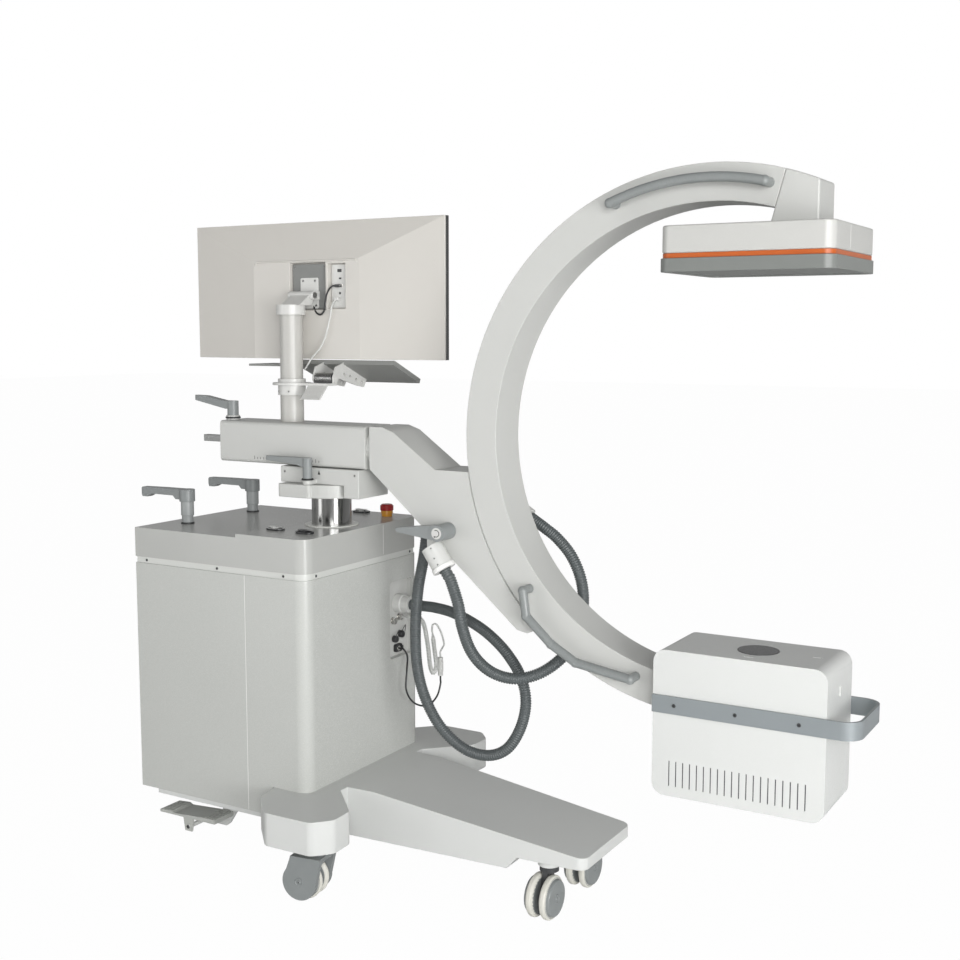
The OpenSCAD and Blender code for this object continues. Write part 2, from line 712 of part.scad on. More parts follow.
module square_bar() color("silver") place()
    translate([car_back_x - bar_len, -bar_w / 2, axis_z - bar_w / 2]) cube([bar_len, bar_w, bar_w]);
module slide_lock() color("dimgray") place()
    translate([slide_lock_x, slide_lock_y, car_top + slide_washer_h + gap])
        hand_lever(slide_hub_r, slide_lock_h, slide_reach, lock_w + lock_t / 2, lock_w, small_pin_r + fit)
            polygon([[0, slide_lock_h], [0, slide_lock_h - lock_t], [-slide_hub_r, slide_lock_h - 1.2 * lock_t],
                [-slide_reach, slide_lock_h], [-slide_reach, slide_lock_h + slide_rise],
                [-0.7 * slide_reach, slide_lock_h + slide_rise - fine], [-0.2 * slide_reach, slide_lock_h]]);

// Display mast, tray
mast_top = 1405;
mast_pin_r = 24;
mast_pin_h = 20;
collar_z = 1198;
collar_h = 42;
collar_wall = 6.5;
disc_z = 1224;
disc_t = 6;
disc_r = 50;
shelf_in = 34;
shelf_out = 68;
tray_pin_x0 = -164;
tray_pin_x1 = -96;
tray_pin_y = 12;
tray_pin_z = 1243;
ear_t = 4;
shelf_drop = 34;
module display_mast() color("gainsboro") place() translate([mast_x, 0, car_top]) {
    cylinder(h = mast_top - car_top, r = mast_d / 2);
    cylinder(h = mast_top - car_top + mast_pin_h, r = mast_pin_r);
    cylinder(h = collar_z - car_top - gap, r = mast_d / 2 + fine);
}
module tray_bracket() color("gainsboro") place() {
    difference() {
        union() {
            translate([mast_x, 0, collar_z]) cylinder(h = collar_h, r = mast_d / 2 + collar_wall);
            translate([mast_x, 0, disc_z]) linear_extrude(disc_t) {
                circle(r = disc_r);
                translate([0, tray_pin_y - shelf_in])
                    square([tray_pin_x1 - ear_t - mast_x - gap, shelf_in + 2 * small_pin_r]);
            }
        }
        translate([mast_x, 0, collar_z - cut]) cylinder(h = collar_h + 2 * cut, r = mast_d / 2 + fit);
    }
    x0 = tray_pin_x0 + ear_t + gap;
    x1 = tray_pin_x1 - ear_t - gap;
    // the hinge block between the tray's ears, and the shelf that slants down in front of it
    along(x0, x1) {
        translate([tray_pin_y, tray_pin_z]) circle(r = 2 * small_pin_r);
        polygon([[tray_pin_y - 2 * small_pin_r, disc_z + disc_t / 2], [tray_pin_y + 2 * small_pin_r, disc_z + disc_t / 2],
            [tray_pin_y + 2 * small_pin_r, tray_pin_z], [tray_pin_y - 2 * small_pin_r, tray_pin_z]]);
        polygon([[tray_pin_y - shelf_in, disc_z + fine], [tray_pin_y - shelf_in + disc_t, disc_z + fine],
            [tray_pin_y - shelf_out + disc_t, disc_z - shelf_drop], [tray_pin_y - shelf_out, disc_z - shelf_drop]]);
    }
    translate([tray_pin_x0 - fine, tray_pin_y, tray_pin_z]) rotate([0, 90, 0])
        cylinder(h = tray_pin_x1 - tray_pin_x0 + 2 * fine, r = small_pin_r);
}
tray_x0 = -255;
tray_x1 = 60;
tray_t = 12;
tray_len = 130;
tray_y = 50;
tray_z = 1289;
tray_angle = 22.5;
pad_x0 = -413;
pad_y1 = 150;
pad_t = 6;
pad_drop = 13;
tray_run = tray_len * cos(tray_angle);
tray_fall = tray_len * sin(tray_angle);
under_y = tray_y - tray_t * sin(tray_angle);
under_z = tray_z - tray_t * cos(tray_angle);
ear_tail = 30;
module ear_side() {
    r = 2.4 * small_pin_r;
    difference() {
        union() {
            translate([tray_pin_y, tray_pin_z]) circle(r = r);
            polygon([[tray_pin_y - r, tray_pin_z], [tray_pin_y + r, tray_pin_z - fine],
                [under_y + tray_run - 2 * ear_tail, under_z - tray_fall - fine - r / 2],
                [under_y + tray_run - ear_tail, under_z - tray_fall - r],
                [under_y + tray_run - ear_tail / 2, under_z - tray_fall + tray_t],
                [under_y + tray_t / 2, under_z + tray_t / 2], [tray_pin_y, tray_pin_z + 2.4 * r]]);
        }
        translate([tray_pin_y, tray_pin_z]) circle(r = small_pin_r + fit);
        for (q = ear_hole_shares) translate([tray_pin_y + q[0] * tray_run, tray_pin_z + q[1] * tray_run])
            circle(r = 0.8 * small_pin_r);
    }
}
ear_hole_shares = [[0.3, 0.083], [0.52, 0.03], [0.74, -0.04], [0.96, -0.11]];
module console_tray() color("lightgray") place() {
    along(tray_x0, tray_x1) polygon([[tray_y, tray_z], [under_y, under_z],
        [under_y + tray_run, under_z - tray_fall], [tray_y + tray_run, tray_z - tray_fall]]);
    along(tray_pin_x0, tray_pin_x0 + ear_t) ear_side();
    along(tray_pin_x1 - ear_t, tray_pin_x1) ear_side();
    translate([pad_x0, under_y + fine, tray_z - pad_drop - pad_t])
        cube([tray_x0 - pad_x0 + pad_t, pad_y1 - under_y, pad_t]);
}

// Display
cap_r = 38;
cap_h = 26;
hinge_x = -218;
hinge_y = 34;
hinge_z = 1456;
hinge_w = 60;
hinge_r = 11;
ear_w = 10;
shell_t = 5;
screen_t = 14;
vesa_y = 55;
vesa_w = 112;
vesa_h = 116;
back_x0 = -390;
back_x1 = -44;
ridge_z = 1549;
back_bulge = 28;
bezel_w = 12;
glass_t = 3;
well_x0 = -267;
well_x1 = -151;
well_z0 = 1418;
well_z1 = 1541;
port_x0 = -144;
port_x1 = -88;
port_z0 = 1421;
port_z1 = 1537;
port_in = 10;
disp_left = disp_x - disp_w / 2;
disp_right = disp_x + disp_w / 2;
disp_top = disp_bottom + disp_h;
module display_cap() color("gainsboro") place() difference() {
    union() {
        translate([mast_x, 0, mast_top + gap]) cylinder(h = cap_h - gap, r = cap_r);
        along(hinge_x - hinge_w / 2, hinge_x + hinge_w / 2) {
            translate([hinge_y, hinge_z]) circle(r = hinge_r);
            polygon([[-cap_r / 2, mast_top + cap_h - fine], [cap_r - edge_r, mast_top + cap_h - fine],
                [hinge_y + hinge_r, hinge_z], [hinge_y - hinge_r, hinge_z]]);
        }
        translate([hinge_x, hinge_y, hinge_z]) rotate([0, 90, 0])
            cylinder(h = hinge_w + 2 * ear_w + 2 * fine, r = pin_r, center = true);
    }
    translate([mast_x, 0, mast_top - cut]) cylinder(h = mast_pin_h + cut + gap, r = mast_pin_r + fit);
}
module tilt_bracket() color("gainsboro") place() {
    for (side = [0, 1]) difference() {
        x0 = side > 0 ? hinge_x + hinge_w / 2 + gap : hinge_x - hinge_w / 2 - gap - ear_w;
        along(x0, x0 + ear_w) {
            translate([hinge_y, hinge_z]) circle(r = hinge_r);
            polygon([[hinge_y, hinge_z + hinge_r], [hinge_y, hinge_z - hinge_r],
                [vesa_y + fine, hinge_z - hinge_r], [vesa_y + fine, hinge_z + hinge_r]]);
        }
        translate([x0 - cut, hinge_y, hinge_z]) rotate([0, 90, 0]) cylinder(h = ear_w + 2 * cut, r = pin_r + fit);
    }
    translate([(well_x0 + well_x1 - vesa_w) / 2, vesa_y, (well_z0 + well_z1 - vesa_h) / 2])
        cube([vesa_w, disp_back_y - port_in - vesa_y, vesa_h]);
}
module display_shell() color("gainsboro") place() difference() {
    union() {
        translate([disp_left, disp_back_y, disp_bottom]) cube([disp_w, shell_t, disp_h]);
        intersection() {
            along(disp_left, disp_right) polygon([[disp_back_y + fine, disp_bottom], [disp_back_y + fine, disp_top],
                [disp_back_y, disp_top], [disp_back_y - back_bulge, ridge_z], [disp_back_y - back_bulge, disp_bottom]]);
            translate([0, 0, disp_bottom]) linear_extrude(disp_h) polygon([[disp_left, disp_back_y + fine],
                [disp_left, disp_back_y], [back_x0, disp_back_y - back_bulge], [back_x1, disp_back_y - back_bulge],
                [disp_right, disp_back_y], [disp_right, disp_back_y + fine]]);
        }
    }
    translate([well_x0, disp_back_y - back_bulge - cut, well_z0])
        cube([well_x1 - well_x0, back_bulge - port_in + cut, well_z1 - well_z0]);
    translate([port_x0, disp_back_y - back_bulge - cut, port_z0])
        cube([port_x1 - port_x0, back_bulge - port_in + cut, port_z1 - port_z0]);
}
module display_screen() color("black") place() difference() {
    translate([disp_left, disp_back_y + shell_t, disp_bottom]) cube([disp_w, screen_t, disp_h]);
    translate([disp_left + bezel_w, disp_back_y + shell_t + screen_t - glass_t, disp_bottom + bezel_w])
        cube([disp_w - 2 * bezel_w, glass_t + cut, disp_h - 2 * bezel_w]);
}

// Neck and its curved rail
neck_w = 120;
neck_x0 = 57;
neck_step = 5;
neck_under = 51;
neck_shoulder_x = 248;
neck_heel_x = 345;
neck_toe_x = 475;
neck_toe_z = 665;
toe_run = 27;
tip_x = 530;
tip_z = 682;
turn_r = 54;
neck_gap = 1.3;
track_mouth = 26;
track_head = 44;
track_lip = 12;
track_depth = 26;
rail_a0 = 189;
rail_a1 = 225;
c_a0 = 74.5;
clamp_back = 17;
out_x = 185;
out_r = 20;
out_len = 30;
neck_lock_x = 288;
neck_lock_z = 887;
neck_lock_y = 58;
neck_hub_r = 20;
neck_arm_len = 113;
neck_arm_w = 22;
module pie(a0, a1, r) {
    polygon(concat([[0, 0]], [for (i = [0 : 8]) 2 * r * [cos(a0 + (a1 - a0) * i / 8), sin(a0 + (a1 - a0) * i / 8)]]));
}
module ring(r0, r1, a0, a1) {
    intersection() {
        difference() {
            circle(r = r1, $fn = arc_fn);
            circle(r = r0, $fn = arc_fn);
        }
        pie(a0, a1, r1);
    }
}
module at_c() { place() translate([c_x, 0, c_centre_z]) children(); }
under_slope = (car_bottom + edge_r - neck_toe_z) / (neck_toe_x - neck_x0);
function under_at(x) = car_bottom + edge_r - under_slope * (x - neck_x0);
module neck_body() color("gainsboro") {
    place() {
        difference() {
            upright(neck_w) polygon([[neck_x0, car_bottom + edge_r], [neck_toe_x, neck_toe_z],
                [neck_toe_x + toe_run, neck_toe_z - neck_step], [tip_x + toe_run, tip_z],
                [neck_heel_x + 4 * toe_run, axis_z - neck_shoulder_drop],
                [neck_shoulder_x, axis_z - neck_shoulder_drop],
                [neck_x0 + spigot_len + neck_round, car_top - neck_round],
                [neck_x0 + spigot_len - 2 * neck_round, car_top], [neck_x0, car_top]]);
            translate([c_x, 0, c_centre_z]) rotate([90, 0, 0])
                cylinder(h = neck_w + 2 * cut, r = c_outer_r + neck_gap, center = true, $fn = arc_fn);
        }
        translate([car_front_x + gap, 0, axis_z]) rotate([0, 90, 0])
            cylinder(h = neck_x0 - car_front_x, r = turn_r);
        translate([car_front_x - spigot_len + gap, 0, axis_z]) rotate([0, 90, 0])
            cylinder(h = spigot_len + neck_x0 - car_front_x, r = spigot_r);
        translate([out_x, 0, under_at(out_x) - out_len / 2]) cylinder(h = 2 * out_len, r = out_r);
        translate([neck_lock_x, -neck_w / 2, neck_lock_z]) rotate([90, 0, 0])
            cylinder(h = bore_share * neck_lock_y, r = small_pin_r);
    }
    at_c() {
        upright(track_mouth - 2 * gap)
            ring(c_outer_r - track_lip - fine, c_outer_r + cut, rail_a0, rail_a1);
        upright(track_head - 2 * gap)
            ring(c_outer_r - track_depth + gap, c_outer_r - track_lip - gap, rail_a0, rail_a1);
    }
}
neck_shoulder_drop = 43;
neck_round = 11;
module neck_lock() color("dimgray") place() translate([neck_lock_x, -neck_w / 2 - gap, neck_lock_z])
    rotate([90, 0, 0]) difference() {
        union() {
            cylinder(h = neck_lock_y - gap, r = neck_hub_r);
            translate([0, 0, neck_lock_y / 2]) linear_extrude(neck_lock_y / 2 - edge_r) {
                polygon([[0, neck_hub_r - fine], [0, fine - neck_hub_r], [-neck_arm_len, -neck_arm_w / 4],
                    [-neck_arm_len, neck_arm_w / 4]]);
                translate([-neck_arm_len, 0]) circle(r = neck_arm_w / 4);
            }
        }
        translate([0, 0, -cut]) cylinder(h = bore_share * neck_lock_y + fine + cut, r = small_pin_r + fit);
    }
clamp_r = 27;
clamp_y = 87;
clamp_a = [256, 849];
clamp_b = [291, 798];
// A round bar between two places
module rod(a, b, r) {
    d = b - a;
    translate(a) rotate([0, acos(d[2] / norm(d)), atan2(d[1], d[0])]) cylinder(h = norm(d), r = r);
}
module hose_clamp() color("whitesmoke") place() {
    a = [clamp_a[0], -clamp_y, clamp_a[1]];
    b = [clamp_b[0], -clamp_y, clamp_b[1]];
    rod(a, b, clamp_r);
    rod(b + (a - b) * 0.15, b, clamp_r + fine);
    // its foot is screwed to the neck's side
    translate([clamp_a[0] - clamp_r / 2, -clamp_y, clamp_a[1] - clamp_r / 2])
        cube([clamp_r, clamp_y - neck_w / 2, clamp_r * 1.2]);
}

// C-arm
c_wall = 8;
c_a1 = 270;
hollow_a1 = 250;
groove_a1 = 275;
c_end = tank_x - tank_len / 2;
mount_reach = 230;
module c_arc() color("gainsboro") {
    place() c_gland();
    c_body();
}
module c_body() intersection() {
    at_c() difference() {
        upright(c_width) ring(c_outer_r - c_depth, c_outer_r, c_a0, c_a1);
        upright(c_width - 2 * c_wall)
            ring(c_outer_r - c_depth + c_wall, c_outer_r - track_depth - c_wall, c_a0 + 2, hollow_a1);
        upright(track_mouth) ring(c_outer_r - track_lip - cut, c_outer_r + cut, c_a0 + 3, groove_a1);
        upright(track_head) ring(c_outer_r - track_depth, c_outer_r - track_lip, c_a0 + 3, groove_a1);
    }
    place() {
        translate([c_end - 2 * c_outer_r, -c_width, 0])
            cube([2 * c_outer_r, 2 * c_width, c_centre_z]);
        translate([c_x - 2 * c_outer_r, -c_width, c_centre_z - cut])
            cube([4 * c_outer_r, 2 * c_width, 2 * c_outer_r]);
    }
}
module detector_mount() color("whitesmoke") at_c() upright(c_width) intersection() {
    circle(r = c_outer_r, $fn = arc_fn);
    polygon([[det_rise / tan(c_a0), det_rise], [mount_reach, det_rise], [mount_reach, c_outer_r],
        [c_outer_r / tan(c_a0), c_outer_r]]);
}
det_r = 22;
band_h = 10;
base_h = 28;
base_lip = 3;
det_bottom = det_top - det_h;
module det_box(z0, h, grow) {
    translate([beam_x, 0, z0]) linear_extrude(h)
        round_rect(-det_len / 2 - grow, det_len / 2 + grow, -det_w / 2 - grow, det_w / 2 + grow, det_r + grow);
}
module detector_shell() color("whitesmoke") place()
    det_box(det_bottom + base_h + band_h, det_h - base_h - band_h, 0);
module detector_band() color("darkorange") place() det_box(det_bottom + base_h, band_h, -fine);
module detector_base() color("silver") place() difference() {
    det_box(det_bottom, base_h, base_lip);
    det_box(det_bottom - cut, base_lip + cut, -det_r / 2);
}
handle_r = 10.5;
handle_y = 90;
grip_in = 34;
grip_r = c_outer_r - grip_in;
grip_a0 = 77;
grip_a1 = 112.5;
grip_shares = [[-0.711, -0.589], [-0.696, -0.688], [-0.587, -0.785], [-0.482, -0.844], [-0.257, -0.879]];
module foot(x, z) { rod([x, -handle_y, z], [x, -c_width / 2, z], handle_r); }
module c_handles() color("dimgray") at_c() {
    translate([0, -handle_y, 0]) intersection() {
        rotate([90, 0, 0]) rotate_extrude() translate([grip_r, 0]) circle(r = handle_r);
        upright(4 * handle_r) pie(grip_a0, grip_a1, grip_r);
    }
    for (a = [grip_a0, grip_a1]) {
        foot(grip_r * cos(a), grip_r * sin(a));
        translate([grip_r * cos(a), -handle_y, grip_r * sin(a)]) sphere(r = handle_r + fine);
    }
    p = [for (q = grip_shares) [q[0] * c_outer_r, -handle_y, q[1] * c_outer_r]];
    for (i = [0 : len(p) - 2]) rod(p[i], p[i + 1], handle_r);
    for (q = p) translate(q) sphere(r = handle_r + fine);
    foot(p[0][0], p[0][2]);
    foot(p[4][0], p[4][2]);
}

// X-ray tube housing
tank_r = 28;
vent_count = 20;
vent_w = 2.5;
vent_h = 57;
vent_z_share = 0.17;
vent_span_share = 0.79;
slot_r = 6;
slot_w = 20;
window_r = 45;
window_in = 2;
tank_x0 = tank_x - tank_len / 2;
tank_x1 = tank_x + tank_len / 2;
tank_z0 = tank_top - tank_h;
strap_z = 534;
strap_h = 39;
strap_r = 40;
strap_screw_shares = [0.135, 0.495, 0.855];
module tank_shell() color("gainsboro") place() difference() {
    upright(tank_w) round_rect(tank_x0, tank_x1, tank_z0, tank_top, tank_r);
    translate([beam_x, 0, tank_top - window_in]) cylinder(h = cut, r = window_r + gap);
    translate([beam_x - slot_w / 2, -0.7 * tank_w / 2 - slot_r / 2, tank_top - window_in])
        cube([slot_w, slot_r, cut]);
    translate([tank_x1 - 3 * slot_w, -slot_r / 2, tank_top - window_in]) cube([slot_w, slot_r, cut]);
    translate([tank_x1 - window_in, 0, 0]) along(0, cut)
        round_rect(-slot_r, slot_r, strap_z + 1.6 * strap_h, strap_z + 2.2 * strap_h, slot_r - fine);
    both_sides() for (i = [0 : vent_count - 1])
        translate([tank_x - vent_span_share * tank_len / 2 + i * vent_span_share * tank_len / (vent_count - 1)
            - vent_w / 2, tank_w / 2 - window_in, tank_z0 + vent_z_share * (tank_h - vent_h) / 2])
            cube([vent_w, cut, vent_h]);
}
module tank_window() color("black") place()
    translate([beam_x, 0, tank_top - window_in]) cylinder(h = window_in + fine, r = window_r);
module tank_strap() color("silver") place() {
    translate([0, 0, strap_z]) linear_extrude(strap_h) difference() {
        round_rect(tank_x0 - 2 * strap_r, strap_front_x, -tank_w / 2 - strap_t, tank_w / 2 + strap_t, strap_r);
        round_rect(tank_x0 - 3 * strap_r, strap_front_x - strap_t, -tank_w / 2, tank_w / 2, strap_r - strap_t);
        translate([tank_x0 - 3 * strap_r, -tank_w]) square([3 * strap_r, 2 * tank_w]);
    }
    both_sides() for (q = strap_screw_shares)
        translate([tank_x0 + q * tank_len, tank_w / 2 + strap_t - fine, strap_z + strap_h / 2])
            rotate([-90, 0, 0]) cylinder(h = 2 * fine, r = screw_r);
}

// Hoses and cords
function bend(p, i, t) = let (n = len(p), a = p[max(i - 1, 0)], b = p[i], c = p[min(i + 1, n - 1)],
    d = p[min(i + 2, n - 1)])
    0.5 * (2 * b + (c - a) * t + (2 * a - 5 * b + 4 * c - d) * t * t + (3 * b - a - 3 * c + d) * t * t * t);
function route(p, k) = concat([for (i = [0 : len(p) - 2]) for (j = [0 : k - 1]) bend(p, i, j / k)],
    [p[len(p) - 1]]);
function unit(v) = v / norm(v);
// A round tube of n sides swept along a route; side is a direction that the route never takes
module cord(points, k, r, n, side) {
    q = route(points, k);
    m = len(q);
    rings = [for (i = [0 : m - 1]) let (t = unit(q[min(i + 1, m - 1)] - q[max(i - 1, 0)]),
        u = unit(cross(side, t)), v = cross(t, u))
        for (j = [0 : n - 1]) q[i] + r * (cos(360 * j / n) * u + sin(360 * j / n) * v)];
    polyhedron(rings, concat([[for (j = [0 : n - 1]) j]], [[for (j = [n - 1 : -1 : 0]) (m - 1) * n + j]],
        [for (i = [0 : m - 2]) for (j = [0 : n - 1])
            [i * n + j, (i + 1) * n + j, (i + 1) * n + (j + 1) % n, i * n + (j + 1) % n]]));
}
out_z = under_at(out_x) - out_len / 2;
hose_a_top = out_z - gap;
hose_a_points = [[out_x, 0, hose_a_top], [out_x, 0, hose_a_top - 20], [out_x, 0, hose_a_top - 40], [176, 1, 800],
    [158, 3, 720], [148, 5, 620], [150, 9, 520], [170, 14, 440], [208, 25, 368], [264, 42, 316], [326, 56, 302],
    [378, 66, 324], [412, 75, 380], [422, 85, 446], [402, 95, 506], [356, 108, 556], [300, 119, 594],
    [240, 132, 618], [170, 148, 634], [110, 160, 638], [70, 165, gland_z], [50, 165, gland_z],
    [gland_len - recess_depth + gap, gland_y, gland_z]];
clamp_dir = [clamp_b[0] - clamp_a[0], 0, clamp_b[1] - clamp_a[1]];
clamp_end = [clamp_b[0], -clamp_y, clamp_b[1]] + gap * unit(clamp_dir);
far_a = 200.3;
far_x = c_x + (c_outer_r - c_depth / 2) * cos(far_a);
far_z = c_centre_z + (c_outer_r - c_depth / 2) * sin(far_a);
far_len = 52;
far_dir = [0.858, 0, -0.513];
elbow_len = 25;
elbow_r = hose_d / 2 + 2 * edge_r;
far_y = c_width / 2 + far_len - elbow_r;
far_end = [far_x, far_y, far_z] + (elbow_len + gap) * far_dir;
hose_b_points = [clamp_end, clamp_end + 0.25 * clamp_dir, clamp_end + 0.5 * clamp_dir, [328, -84, 715],
    [334, -76, 660], [350, -62, 600], [376, -38, 556], [412, -12, 532], [452, 16, 528], [496, 44, 546],
    [538, 66, 586], [566, 82, 640], [576, 88, 710], [568, 90, 770], [542, 91, 824], [504, 91, 864],
    far_end + 2 * elbow_len * far_dir, far_end + elbow_len * far_dir, far_end];
switch_x0 = 60;
switch_y0 = 264;
switch_z0 = 424;
switch_len = 51;
switch_grip_r = 8;
jack_end = fine + jack_len - recess_depth - 2 * fine;
coil_r = 6;
cord_r = 2.5;
lead_r = 2.5;
function jack(i) = [jack_len - recess_depth - fine, recess_y + jack_y_shares[i] * recess_w,
    recess_z + jack_z_shares[i] * recess_h];
coil_points = [jack(1) + [gap, 0, 0], jack(1) + [8, 0, 0], jack(1) + [16, 0, 0], [26, 192, 598], [42, 206, 580], [50, 215, 520], [54, 221, 460],
    [58, 231, 438], [60, 242, 456], [56, 240, 500], [52, 236, 550]];
cord_points = [[52, 236, 550], [51.5, 235.5, 556], [52, 238, 570], [56, 252, 568], [60, 270, 540],
    [62, 280, 510], [61, 276, 502], [switch_x0, switch_y0, 491], [switch_x0, switch_y0, 483],
    [switch_x0, switch_y0, switch_z0 + switch_len + gap]];
lead_points = [jack(4) + [gap, 0, 0], jack(4) + [6, 0, 0], jack(4) + [12, 0, 0], [20, 160, 496], [30, 142, 460], [34, 132, 415], [40, 148, 380],
    [46, 182, 358], [52, 220, 352], [58, 250, 370], [switch_x0, switch_y0, 400], [switch_x0, switch_y0, 412],
    [switch_x0, switch_y0, switch_z0 - gap]];
mast_lead_x = 21;
mast_lead_y = 27;
leads_points = [[-128, disp_back_y - port_in - gap, 1440], [-128, 57, 1440], [-128, 52, 1440], [-128, 43, 1431],
    [-129, 39, 1418], [-131, 37.5, 1402], [-146, 36, 1350],
    [-162, 34, 1320], [-186, 32, 1296], [-200, 29, 1276], [mast_x + mast_lead_x, mast_lead_y, 1262]];
module hose_a() color("dimgray") place() cord(hose_a_points, 4, hose_d / 2, 10, [0, 1, 0]);
module hose_b() color("dimgray") place() cord(hose_b_points, 4, hose_d / 2, 10, [0, 1, 0]);
module hand_switch() color("white") place() translate([switch_x0, switch_y0, switch_z0]) {
    cylinder(h = switch_len, r = switch_grip_r - fine);
    translate([0, 0, switch_len / 4]) cylinder(h = switch_len / 2, r = switch_grip_r);
}
module switch_coil() color("white") place() cord(coil_points, 5, coil_r, 8, [0, 0.3, 0.1]);
module switch_cord() color("white") place() cord(cord_points, 4, cord_r, 8, [1, 0, 0]);
module panel_lead() color("black") place() cord(lead_points, 5, lead_r, 8, [0.7, 0.2, 0.1]);
module display_leads() color("dimgray") place() cord(leads_points, 5, lead_r, 8, [1, 1, 0]);
module c_gland() {
    rod([far_x, c_width / 2 - fine, far_z], [far_x, far_y, far_z], elbow_r);
    translate([far_x, far_y, far_z]) sphere(r = elbow_r + fine / 2);
    rod([far_x, far_y, far_z], [far_x, far_y, far_z] + elbow_len * far_dir, elbow_r);
}

base_frame();
cabinet_rear();
cabinet_front();
top_cover();
cover_band();
column_sleeve();
connector_panel();
hose_gland();
hand_switch();
switch_coil();
switch_cord();
panel_lead();
control_bezels();
lever_posts();
brake_lever();
steer_lever();
foot_pedal();
estop_stem();
estop_cap();
lift_switch_right();
lift_switch_left();
power_rocker();
fork_rear_right();
fork_rear_left();
fork_front_right();
fork_front_left();
wheel_rear_right();
wheel_rear_left();
wheel_front_right();
wheel_front_left();
lift_column();
pan_plate();
pan_block();
pan_lock();
carriage_box();
square_bar();
display_mast();
slide_lock();
tray_bracket();
console_tray();
display_cap();
tilt_bracket();
display_shell();
display_screen();
display_leads();
neck_body();
hose_clamp();
neck_lock();
c_arc();
detector_mount();
detector_shell();
detector_band();
detector_base();
c_handles();
tank_shell();
tank_window();
tank_strap();
hose_a();
hose_b();
